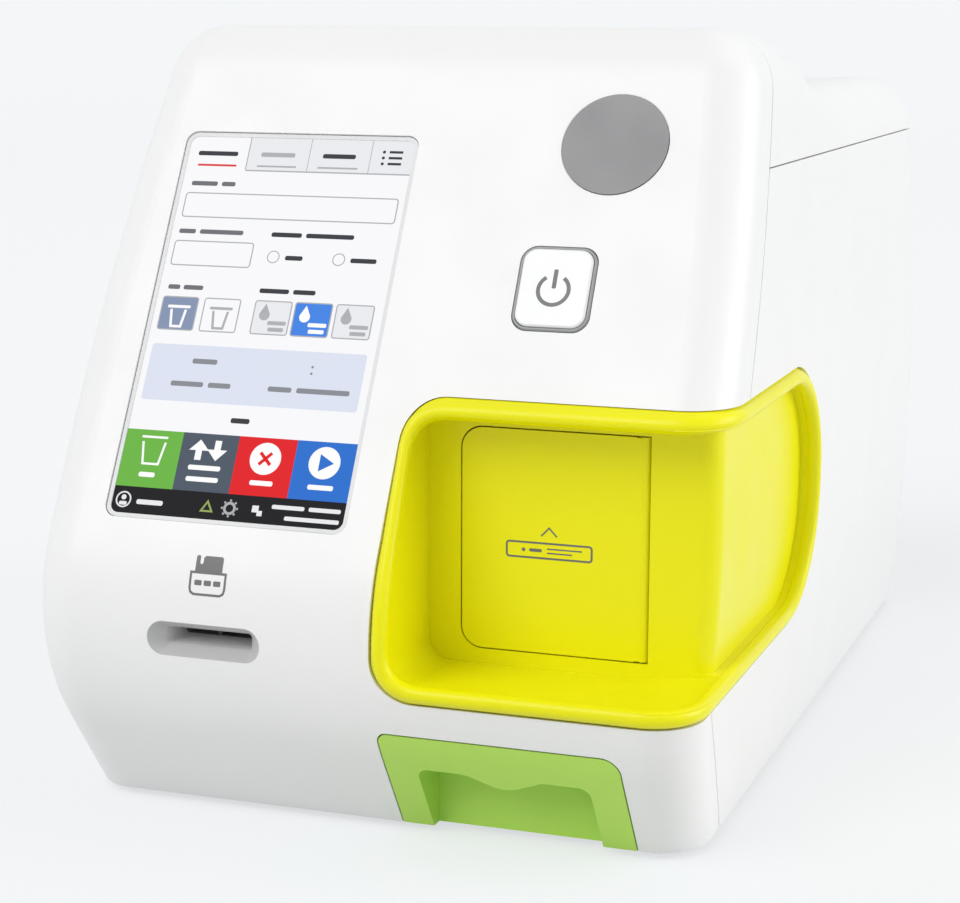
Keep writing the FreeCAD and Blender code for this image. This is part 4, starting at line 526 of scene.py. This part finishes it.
# the row of tabs
on_page(PALE, 1, bar(17.6, 0, LIT_WIDTH, 9.4))
on_page(LINE, 2, bar(17.6, 9.4, LIT_WIDTH, 9.8), bar(17.4, 0, 17.7, 9.4),
        bar(35.2, 0, 35.4, 9.4), bar(52.7, 0, 52.9, 9.4))
for left, right, dark in ((2.8, 14.5, INK), (21.3, 31.2, LINE), (39.2, 48.6, INK)):
    on_page(dark, 2, bar(left, 4.2, right, 5.5, 0.5))
on_page(linear(226, 60, 60), 2, bar(3.3, 8.0, 14.7, 8.6))
on_page(LINE, 3, bar(20.7, 8.0, 32.1, 8.5), bar(38.3, 8.0, 49.7, 8.5))
for row in (3.2, 4.9, 6.6):
    on_page(INK, 2, disc(56.4, row, 0.45, 12), bar(57.9, row - 0.35, 61.7, row + 0.35))
# its fields and their labels
for x0, x1, y, dark in ((2.7, 10.4, 12.9, LABEL), (11.6, 15.6, 12.9, LABEL),
                        (2.1, 7.0, 26.9, LABEL), (8.2, 20.9, 26.9, LABEL),
                        (29.1, 37.8, 27.0, INK), (39.0, 52.6, 27.0, INK),
                        (2.5, 6.0, 43.0, LABEL), (7.0, 12.7, 43.0, LABEL),
                        (29.0, 37.4, 43.0, INK), (38.6, 44.9, 43.0, INK),
                        (34.3, 39.3, 33.5, INK), (52.8, 60.1, 33.5, INK)):
    on_page(dark, 1, bar(x0, y + 0.2, x1, y + 1.5, 0.5))
field(1.7, 16.4, 63.1, 23.7)
field(1.5, 30.4, 24.8, 37.7)
for x in (30.9, 49.5):
    on_page(LINE, 1, disc(x, 34.2, 1.8))
    on_page(GLASS_WHITE, 2, disc(x, 34.2, 1.5))
# tip and sample keys
for x0, fill, mark in ((1.7, linear(135, 150, 180), WHITE), (13.9, GLASS_WHITE, LINE)):
    field(x0, 46.5, x0 + 10.6, 56.1, 0.8, fill)
    on_page(mark, 3, bar(x0 + 2.0, 49.0, x0 + 8.6, 49.8, 0.3))
    on_page(mark, 3, *stroke([(x0 + 3.2, 50.2), (x0 + 3.9, 55.0), (x0 + 6.7, 55.0),
                              (x0 + 7.4, 50.2)], 0.7))
for x0, fill, mark in ((28.5, PALE, LINE), (39.9, BLUE, WHITE), (51.5, PALE, LINE)):
    field(x0, 46.5, x0 + 10.7, 56.1, 0.8, fill)
    on_page(mark, 3, disc(x0 + 3.3, 50.6, 1.5), [(x0 + 2.0, 49.9), (x0 + 3.3, 47.4),
                                                (x0 + 4.6, 49.9)])
    on_page(mark, 4, bar(x0 + 4.6, 52.2, x0 + 9.8, 53.3, 0.3),
            bar(x0 + 5.0, 54.0, x0 + 9.4, 55.1, 0.3))
# the pale result panel and the state of the reader
on_page(linear(222, 228, 243), 1, bar(1.7, 60.0, 62.6, 75.7, 0.8))
on_page(GREY, 2, bar(14.2, 63.7, 21.3, 65.1, 0.5), bar(9.3, 70.1, 18.6, 71.5, 0.5),
        bar(20.0, 70.1, 26.4, 71.5, 0.5), bar(37.0, 70.1, 43.6, 71.5, 0.5),
        bar(45.0, 70.1, 59.7, 71.5, 0.5))
on_page(GREY, 2, disc(48.2, 64.2, 0.35, 12), disc(48.2, 66.0, 0.35, 12))
on_page(INK, 1, bar(28.5, 79.3, 33.8, 80.7, 0.5))
# four command keys
for x0, x1, colour in ((0, 16.2, GREEN), (16.2, 32.1, SLATE), (32.1, 48.3, RED),
                       (48.3, LIT_WIDTH, DEEP_BLUE)):
    on_page(colour, 1, bar(x0, 84.0, x1, 99.6))
on_page(WHITE, 2, *stroke([(4.6, 85.9), (12.0, 85.9)], 0.6),
        *stroke([(5.2, 87.2), (6.2, 93.2), (10.6, 93.2), (11.6, 87.2)], 0.6))
on_page(WHITE, 2, [(18.6, 88.6), (21.4, 85.7), (24.2, 88.6)], bar(20.5, 88.6, 22.3, 91.2),
        [(23.7, 88.2), (29.3, 88.2), (26.5, 91.2)], bar(25.6, 85.7, 27.4, 88.2),
        disc(40.3, 89.6, 4.3, 36), disc(56.6, 89.6, 4.3, 36))
on_page(RED, 3, *stroke([(38.7, 88.0), (41.9, 91.2)], 0.9),
        *stroke([(38.7, 91.2), (41.9, 88.0)], 0.9))
on_page(DEEP_BLUE, 3, [(55.2, 87.3), (59.2, 89.6), (55.2, 91.9)])
on_page(WHITE, 2, *[bar(x0, y + 0.3, x1, y + 1.6, 0.5) for x0, x1, y in (
    (5.8, 10.4, 95.2), (19.3, 28.4, 92.3), (19.3, 28.4, 95.4), (37.2, 43.6, 95.2),
    (53.2, 60.2, 95.2))])
# the bar along the bottom
on_page(linear(14, 14, 18), 1, bar(0, 99.6, LIT_WIDTH, LIT_LENGTH))
on_page(PALE, 2, *stroke(disc(3.1, 103.2, 2.0, 24), 0.4, True), disc(3.1, 102.6, 0.7, 14),
        bar(2.0, 103.7, 4.2, 104.7, 0.4), bar(6.9, 102.9, 14.4, 104.2, 0.5),
        bar(39.4, 102.1, 41.2, 103.9), bar(40.9, 103.4, 42.3, 104.8))
on_page(linear(150, 170, 90), 2, *stroke([(25.4, 104.6), (28.4, 104.6), (26.9, 102.0)], 0.5, True))
on_page(LINE, 2, *stroke(disc(33.2, 103.4, 1.4, 20), 0.7, True))
for k in range(8):
    angle = math.tau * k / 8
    on_page(LINE, 2, disc(33.2 + 2.1 * math.cos(angle), 103.4 + 2.1 * math.sin(angle), 0.32, 8))
on_page(PALE, 2, bar(44.7, 101.5, 53.6, 102.6, 0.4), bar(54.8, 101.5, 63.5, 102.6, 0.4),
        bar(48.6, 104.3, 63.5, 105.4, 0.4))

lit_page, tree, shader = tree_of("lit_page")
tint = add(tree, "ShaderNodeAttribute")
tint.attribute_name = "tint"
smear = add(tree, "ShaderNodeTexNoise", Scale=40.0, Detail=3.0,
            Vector=add(tree, "ShaderNodeTexCoord").outputs["Object"])
tree.links.new(spread(tree, smear.outputs[0], 0.3, 0.7, 0.10, 0.16), shader.inputs["Roughness"])
tree.links.new(tint.outputs["Color"], shader.inputs["Emission Color"])
shader.inputs["Emission Strength"].default_value = 0.97
shader.inputs["Base Color"].default_value = (0.002, 0.002, 0.003, 1.0)
shader.inputs["Specular IOR Level"].default_value = 0.05
DISPLAY_ACROSS, DISPLAY_UP, LIT_LEVEL = -36.17, 29.9, -0.9


def on_glass(x, y, out):
    """A place on the lit page, from its upper left corner."""
    return on_panel(DISPLAY_ACROSS - LIT_WIDTH / 2 + x, DISPLAY_UP + LIT_LENGTH / 2 - y,
                    LIT_LEVEL + out)


picture = printed("display_page", page, on_glass, lit_page)
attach(picture, "housing")

screen_black = plastic("screen_black", (0.012, 0.012, 0.014), smooth=0.08, matt=0.14)
dress(screen_black, "touch_glass")


# Printed marks. Grey tampo print on the power button, the cartridge door and the front: the
# standby sign, a test cartridge with an arrow, and a chip over its slot.

print_grey = plastic("print_grey", (0.15, 0.15, 0.15), smooth=0.4, matt=0.5)
PRINT_TINT = (0.13, 0.13, 0.135, 1.0)
BUTTON_ACROSS, BUTTON_UP, BUTTON_PROUD = 41.0, 42.6, 1.1
RING_RADIUS, RING_START, RING_END, RING_STEPS = 4.0, 125, 415, 40


def in_print(*groups):
    """Shapes for printed, all in the one ink, from groups of outlines."""
    return [(outline, PRINT_TINT, 0) for group in groups for outline in group]


angles = [math.radians(RING_START + (RING_END - RING_START) * i / RING_STEPS)
          for i in range(RING_STEPS + 1)]
standby = printed("standby_mark",
                  in_print(stroke([(RING_RADIUS * math.cos(a), RING_RADIUS * math.sin(a))
                                   for a in angles], 1.05),
                           [bar(-0.55, 0.4, 0.55, 5.6, 0.3)]),
                  lambda x, y, out: on_panel(BUTTON_ACROSS + x, BUTTON_UP + y,
                                             BUTTON_PROUD + out), print_grey)
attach(standby, "button")

DOOR_MIDDLE = Vector((41.5, -115.0, 73.5))
cartridge = printed("cartridge_mark",
                    in_print(stroke([(-2.1, 3.8), (0, 6.0), (2.1, 3.8)], 0.45),
                             stroke(bar(-11.3, -1.95, 11.3, 1.95, 0.7), 0.55, True),
                             [disc(-6.8, 0, 0.5), bar(-5.3, -0.45, -1.9, 0.45, 0.4),
                              bar(-0.6, 0.35, 8.8, 0.75, 0.15),
                              bar(-0.6, -0.75, 6.2, -0.35, 0.15)]),
                    lambda x, y, out: MM * (DOOR_MIDDLE + Vector((x, -out, y))), print_grey)
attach(cartridge, "door")

NOSE_RADIUS, NOSE_HEIGHT, NOSE_FRONT, COVER_LIFT = 50.0, 50.0, -152.3, 2.0
CHIP_ROWS = [61.0 + 0.5 * i for i in range(22)]


def on_nose(x, height, out):
    """A place on the round nose of the front cover, by its height above the cover's edge."""
    angle = math.asin((height - NOSE_HEIGHT) / NOSE_RADIUS)
    radius = NOSE_RADIUS + out
    return MM * Vector((x, NOSE_FRONT + NOSE_RADIUS - radius * math.cos(angle),
                        COVER_LIFT + NOSE_HEIGHT + radius * math.sin(angle)))


chip = printed("chip_mark",
               in_print(stroke([(-42.1, 67.0), (-42.1, 63.2), (-41.8, 62.2), (-40.9, 61.7),
                                (-33.7, 61.7), (-32.8, 62.2), (-32.5, 63.2), (-32.5, 67.0)],
                               0.6, True),
                        [[(-41.1, 67.1), (-33.6, 67.1), (-33.6, 70.6), (-34.0, 71.0),
                          (-38.6, 71.0), (-39.1, 70.5), (-39.1, 69.3), (-39.5, 68.9),
                          (-40.0, 69.3), (-40.0, 70.9), (-40.6, 71.1), (-41.1, 70.8)],
                         bar(-40.9, 63.9, -38.9, 65.2, 0.3), bar(-38.3, 63.9, -36.3, 65.2, 0.3),
                         bar(-35.7, 63.9, -33.7, 65.2, 0.3)]),
               on_nose, print_grey, rows=CHIP_ROWS)
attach(chip, "housing")


# Black mouldings: the tray and its guide, the optical head, the fan, the switch of the power
# button and the frame of the display module. They are glass-filled nylon with a fine grain.

black_plastic = plastic("black_plastic", (0.02, 0.02, 0.021), smooth=0.35, matt=0.5,
                        grain=1800.0)
dress(black_plastic, "tray_guide", "fan_frame", "fan_rotor", "cartridge_tray", "optical_head",
      "button_switch", "lcd_module")


# Chip socket. The socket behind the slot is a grey block with a contact tongue at the right
# of its mouth and a rib that keys the chip at the left of the tongue.

socket_grey = plastic("socket_grey", (0.20, 0.20, 0.205), smooth=0.35, matt=0.5)
dress(socket_grey, "chip_socket")


def add_block(bm, low, high, edge):
    """A block between two corners in millimetres, with its edges broken."""
    corners = [Vector(low[i] if bit else high[i] for i, bit in enumerate(bits))
               for bits in ((a, b, c) for a in (0, 1) for b in (0, 1) for c in (0, 1))]
    made = bmesh.ops.convex_hull(bm, input=[bm.verts.new(MM * corner) for corner in corners])
    edges = {e for face in made["geom"] if isinstance(face, bmesh.types.BMFace)
             for e in face.edges if e.calc_face_angle(0.0) > 1.0}
    bmesh.ops.bevel(bm, geom=list(edges), offset=MM * edge, segments=2, profile=0.5,
                    affect="EDGES")


socket_low, socket_high = [Vector(corner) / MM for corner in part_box("chip_socket")]
KEY_RIB_X, KEY_RIB_WIDTH, KEY_RIB_EDGE = -40.9, 1.1, 0.2
MOUTH_INSET, MOUTH_SETBACK, MOUTH_DEPTH = 2.35, 0.2, 8.6
bm = bmesh.new()
add_block(bm, (KEY_RIB_X, socket_low.y + MOUTH_SETBACK, socket_low.z + MOUTH_INSET),
          (KEY_RIB_X + KEY_RIB_WIDTH, socket_low.y + MOUTH_DEPTH, socket_high.z - MOUTH_INSET),
          KEY_RIB_EDGE)
key_rib = finish_mesh("chip_key_rib", bm, socket_grey, smooth=False)
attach(key_rib, "housing")


# Painted shade of the chip slot: a thin light grey shell that lines the white funnel round the
# slot's mouth; its grey stands in for the shade that falls inside the slot and is no part of its
# own.

# painted shade: the grey of this shell is the shade inside the white funnel, laid on as colour
slot_painted_shade = plastic("slot_painted_shade", (0.55, 0.55, 0.55), smooth=0.35, matt=0.5)
SLOT_LOW, SLOT_HIGH = Vector((-54.5, -152.18, 44.0)), Vector((-21.0, -148.34, 60.0))
SHELL_THICK, LOOKING_AHEAD = 0.12, 0.93
bm = welded("front_cover")


def in_funnel(face):
    """True for the flared sides of the slot: near it, and not a part of the cover's front."""
    middle = face.calc_center_median() / MM
    return (all(SLOT_LOW[i] < middle[i] < SLOT_HIGH[i] for i in range(3))
            and abs(face.normal.y) < LOOKING_AHEAD)


bmesh.ops.delete(bm, geom=[face for face in bm.faces if not in_funnel(face)], context="FACES")
slot_shade_sheet = finish_mesh("chip_slot_painted_shade", bm, slot_painted_shade, smooth=False)
shell = slot_shade_sheet.modifiers.new("shell", "SOLIDIFY")
shell.thickness, shell.offset = MM * SHELL_THICK, 1.0
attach(slot_shade_sheet, "housing")


# Base. The grey base plate closes the housing from below and stands on four rubber feet; the
# runners of the drawer are of the same grey ABS.

base_grey = plastic("base_grey", (0.30, 0.31, 0.32), smooth=0.4, matt=0.55)
dress(base_grey, "base_plate", "drawer_runners")
foot_rubber = plastic("foot_rubber", (0.025, 0.025, 0.025), smooth=0.65, matt=0.85,
                      grain=900.0, depth=0.05)
dress(foot_rubber, "rubber_feet")


# Metalwork. Chassis, brackets and rear panel are folded from galvanised steel sheet, and rods,
# screws and shafts are bright drawn steel; the hinge pins of the door are blackened.

CLOUD_SCALE, STAIN, BRUSHING = 30.0, 0.9, 0.02
metal, given, result = group_of(
    "metal_finish",
    (("Colour", "Color", (0.6, 0.6, 0.6, 1.0)), ("Stain", "Color", (0.5, 0.5, 0.5, 1.0)),
     ("Smooth", "Float", 0.25), ("Rough", "Float", 0.45),
     ("Grain", "Vector", (40.0, 900.0, 900.0))),
    (("Colour", "Color"), ("Roughness", "Float"), ("Height", "Float")))
where = add(metal, "ShaderNodeTexCoord").outputs["Object"]
stretched = add(metal, "ShaderNodeVectorMath", i0=where, i1=given.outputs["Grain"])
stretched.operation = "MULTIPLY"
streaks = add(metal, "ShaderNodeTexNoise", Vector=stretched.outputs[0], Scale=1.0, Detail=3.0)
cloud = add(metal, "ShaderNodeTexNoise", Vector=where, Scale=CLOUD_SCALE, Detail=4.0)
metal.links.new(blend_colours(metal, spread(metal, cloud.outputs[0], 0.35, 0.7, 0.0, 1.0),
                              given.outputs["Colour"], given.outputs["Stain"]),
                result.inputs["Colour"])
metal.links.new(spread(metal, streaks.outputs[0], 0.3, 0.7, given.outputs["Smooth"],
                       given.outputs["Rough"]), result.inputs["Roughness"])
metal.links.new(streaks.outputs[0], result.inputs["Height"])


def metalwork(name, colour, smooth=0.25, rough=0.45, grain=(40.0, 900.0, 900.0)):
    """Bare or plated metal, stained in clouds and brushed along its length."""
    material, tree, shader = tree_of(name)
    shader.inputs["Metallic"].default_value = 1.0
    finish = place(tree, metal, Colour=(*colour, 1.0), Smooth=smooth, Rough=rough, Grain=grain,
                   Stain=(*(c * STAIN for c in colour), 1.0))
    wear(tree, shader, finish, BRUSHING)
    return material


dress(metalwork("sheet_steel", (0.62, 0.63, 0.64)), "chassis", "motor_bracket", "rear_panel",
      "pipettor_frame", "optics_bridge")
dress(metalwork("bright_steel", (0.72, 0.72, 0.73), smooth=0.12, rough=0.28),
      "guide_rods", "lift_screw", "base_screws", "panel_screws", "usb_sockets", "network_socket")
dress(metalwork("cast_aluminium", (0.7, 0.7, 0.72), smooth=0.4, rough=0.6,
                grain=(400.0, 400.0, 400.0)), "heater_block")
dress(metalwork("motor_case", (0.5, 0.5, 0.52), rough=0.4), "tray_motor", "lift_motor")
dress(metalwork("brass_pillar", (0.75, 0.56, 0.25), smooth=0.2, rough=0.35), "board_standoffs")
dress(metalwork("black_oxide", (0.07, 0.07, 0.07), smooth=0.3, rough=0.5), "door_pins")
gilt = metalwork("contact_gilt", (0.83, 0.63, 0.28), smooth=0.15, rough=0.3)


# Contacts. Gilt springs lie on the tongues of the chip socket, the two USB sockets and the
# network socket; each is a bent strip of phosphor bronze.

def add_strip(bm, points, across, width, thick):
    """A bent strip: a bar of some thickness along points, spread along the vector across."""
    half, rows = across.normalized() * width / 2, []
    for i, here in enumerate(points):
        along = (points[min(i + 1, len(points) - 1)] - points[max(i - 1, 0)]).normalized()
        up = along.cross(across).normalized() * thick / 2
        rows.append([bm.verts.new(MM * (here + a + b)) for a, b in
                     ((half, up), (-half, up), (-half, -up), (half, -up))])
    for first, second in zip(rows, rows[1:]):
        for k in range(4):
            bm.faces.new((first[k], first[k - 1], second[k - 1], second[k]))
    bm.faces.new(rows[0])
    bm.faces.new(rows[-1][::-1])


CONTACT_THICK, RIGHT = 0.16, Vector((1.0, 0.0, 0.0))
# share of the run, and height over the tongue
CONTACT_BOW = ((0.0, 0.02), (0.12, 0.22), (0.3, 0.30), (0.6, 0.14), (1.0, 0.06))
# first x, count, pitch, width, tongue front, run and top
CONTACT_ROWS = ((-38.5, 7, 1.53, 0.8, -137.2, 6.5, 52.3), (-38.3, 4, 1.55, 0.9, 146.8, -4.0, 49.2),
                (-21.3, 4, 1.55, 0.9, 146.8, -4.0, 49.2), (-1.4, 8, 0.97, 0.5, 146.8, -4.0, 52.6))
bm = bmesh.new()
for first, count, pitch, width, front, run, top in CONTACT_ROWS:
    for k in range(count):
        x = first + k * pitch
        add_strip(bm, [Vector((x, front + share * run, top + rise)) for share, rise in CONTACT_BOW],
                  RIGHT, width, CONTACT_THICK)
contacts = finish_mesh("socket_contacts", bm, gilt)
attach(contacts, "housing")


# Screws of the base and of the rear panel: pan heads with a cross recess on a cut thread,
# zinc plated. They stand where the plain shanks of the CAD model are.

# shares of the head's radius and height, from its seat to its top
PAN_HEAD = ((0.97, 0.0), (1.0, 0.25), (0.95, 0.7), (0.80, 1.0))
POINT, CORE, SCREW_SIDES = 0.55, 0.82, 24
CROSS_HALF_WIDTH, CROSS_REACH, CROSS_FLOOR, CROSS_TAPER = 0.15, 0.56, 0.35, 0.8


def add_screw(bm, seat, axis, head_radius, head_height, shank_radius, length, pitch):
    """A screw whose head sits at seat and looks along axis; all in millimetres."""
    axis = axis.normalized()
    first = axis.orthogonal().normalized()
    second = axis.cross(first)

    def vert(x, y, z):
        return bm.verts.new(MM * (seat + x * first + y * second + z * axis))

    rings = [(shank_radius * POINT, -length)]
    for k in range(int(length / pitch)):
        z = -length + (k + 0.5) * pitch
        rings += [(shank_radius, z), (shank_radius * CORE, z + pitch / 2)]
    rings.append((shank_radius, -0.05))
    rings += [(head_radius * out, head_height * up) for out, up in PAN_HEAD]
    rows = [[vert(radius * math.cos(math.tau * i / SCREW_SIDES),
                  radius * math.sin(math.tau * i / SCREW_SIDES), z) for i in range(SCREW_SIDES)]
            for radius, z in rings]
    for below, above in zip(rows, rows[1:]):
        for i in range(SCREW_SIDES):
            bm.faces.new((below[i - 1], below[i], above[i], above[i - 1]))
    bm.faces.new(rows[0][::-1])
    w, a = head_radius * CROSS_HALF_WIDTH, head_radius * CROSS_REACH
    cross = [(w, w), (w, a), (-w, a), (-w, w), (-a, w), (-a, -w), (-w, -w), (-w, -a), (w, -a),
             (w, -w), (a, -w), (a, w)]
    mouth = [vert(x, y, head_height) for x, y in cross]
    floor = [vert(CROSS_TAPER * x, CROSS_TAPER * y, head_height * CROSS_FLOOR) for x, y in cross]
    for i in range(len(cross)):
        bm.faces.new((mouth[i - 1], mouth[i], floor[i], floor[i - 1]))
    bm.faces.new(floor)
    border = [bm.edges.get((row[i - 1], row[i])) for row in (rows[-1], mouth)
              for i in range(len(row))]
    bmesh.ops.triangle_fill(bm, use_beauty=True, edges=border, normal=axis)


zinc = metalwork("zinc_plate", (0.66, 0.67, 0.68), smooth=0.2, rough=0.38)
for name, axis, head_radius, head_height, shank_radius, pitch in (
        ("base_screws", Vector((0.0, 0.0, -1.0)), 3.0, 1.8, 1.45, 1.0),
        ("panel_screws", Vector((0.0, 1.0, 0.0)), 2.3, 0.9, 1.2, 0.5)):
    low, high = [Vector(corner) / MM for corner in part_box(name)]
    along, other = (2, 1) if axis.z else (1, 2)
    bm = bmesh.new()
    for x in (low.x + head_radius, high.x - head_radius):
        for row in (low[other] + head_radius, high[other] - head_radius):
            seat = Vector((x, row, row))
            seat[along] = low.z + head_height if axis.z else high.y - head_height
            add_screw(bm, seat, axis, head_radius, head_height, shank_radius,
                      high[along] - low[along] - head_height, pitch)
    screws = finish_mesh("cross_" + name, bm, zinc, smooth=False)
    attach(screws, "housing")
    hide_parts(name)


# Lift screw. A rolled two-start thread of 5 mm lead on a bright steel rod; it turns in the
# pipettor frame and carries the nut of the carriage.

low, high = [Vector(corner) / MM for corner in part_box("lift_screw")]
LEAD, STARTS, THREAD_DEPTH, THREAD_STEP, ROUND = 5.0, 2, 0.45, 0.25, 32
PLAIN_FOOT, PLAIN_HEAD, RUN_IN, CREST = 1.0, 4.0, 0.8, 1.6
axis_x, axis_y = (low.x + high.x) / 2, (low.y + high.y) / 2
radius, steps = (high.x - low.x) / 2, round((high.z - low.z) / THREAD_STEP)
bm = bmesh.new()
rows = []
for k in range(steps + 1):
    z = low.z + (high.z - low.z) * k / steps
    full = min(1.0, max(0.0, min(z - low.z - PLAIN_FOOT, high.z - z - PLAIN_HEAD) / RUN_IN))
    row = []
    for i in range(ROUND):
        turn = math.tau * i / ROUND
        wave = 0.5 + 0.5 * math.cos(STARTS * turn - math.tau * STARTS * z / LEAD)
        cut = THREAD_DEPTH * full * (1 - min(1.0, CREST * wave))
        row.append(bm.verts.new(MM * Vector((axis_x + (radius - cut) * math.cos(turn),
                                             axis_y + (radius - cut) * math.sin(turn), z))))
    rows.append(row)
for below, above in zip(rows, rows[1:]):
    for i in range(ROUND):
        bm.faces.new((below[i - 1], below[i], above[i], above[i - 1]))
bm.faces.new(rows[0][::-1])
bm.faces.new(rows[-1])
thread = finish_mesh("lift_screw_thread", bm, bpy.data.materials["bright_steel"])
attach(thread, "lift_screw")
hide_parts("lift_screw")


# Gear, carriage, boards and syringe. The pinion and the carriage are cut from white acetal,
# the boards are green glass fibre with black parts, and the syringe is clear polymer.

gear_white = plastic("gear_white", (0.8, 0.79, 0.75), smooth=0.3, matt=0.4)
dress(gear_white, "tray_pinion", "pipettor_carriage")
circuit_board = plastic("circuit_board", (0.01, 0.13, 0.04), smooth=0.25, matt=0.35)
dress(circuit_board, "main_board", "power_board", "port_board")
board_components = plastic("board_components", (0.03, 0.03, 0.032))
dress(board_components, "main_board_parts", "power_board_parts", "power_inlet")
clear_polymer = plastic("clear_polymer", (0.85, 0.88, 0.9), smooth=0.05, matt=0.12)
shader = clear_polymer.node_tree.nodes["Principled BSDF"]
shader.inputs["Transmission Weight"].default_value = 0.6
dress(clear_polymer, "syringe")
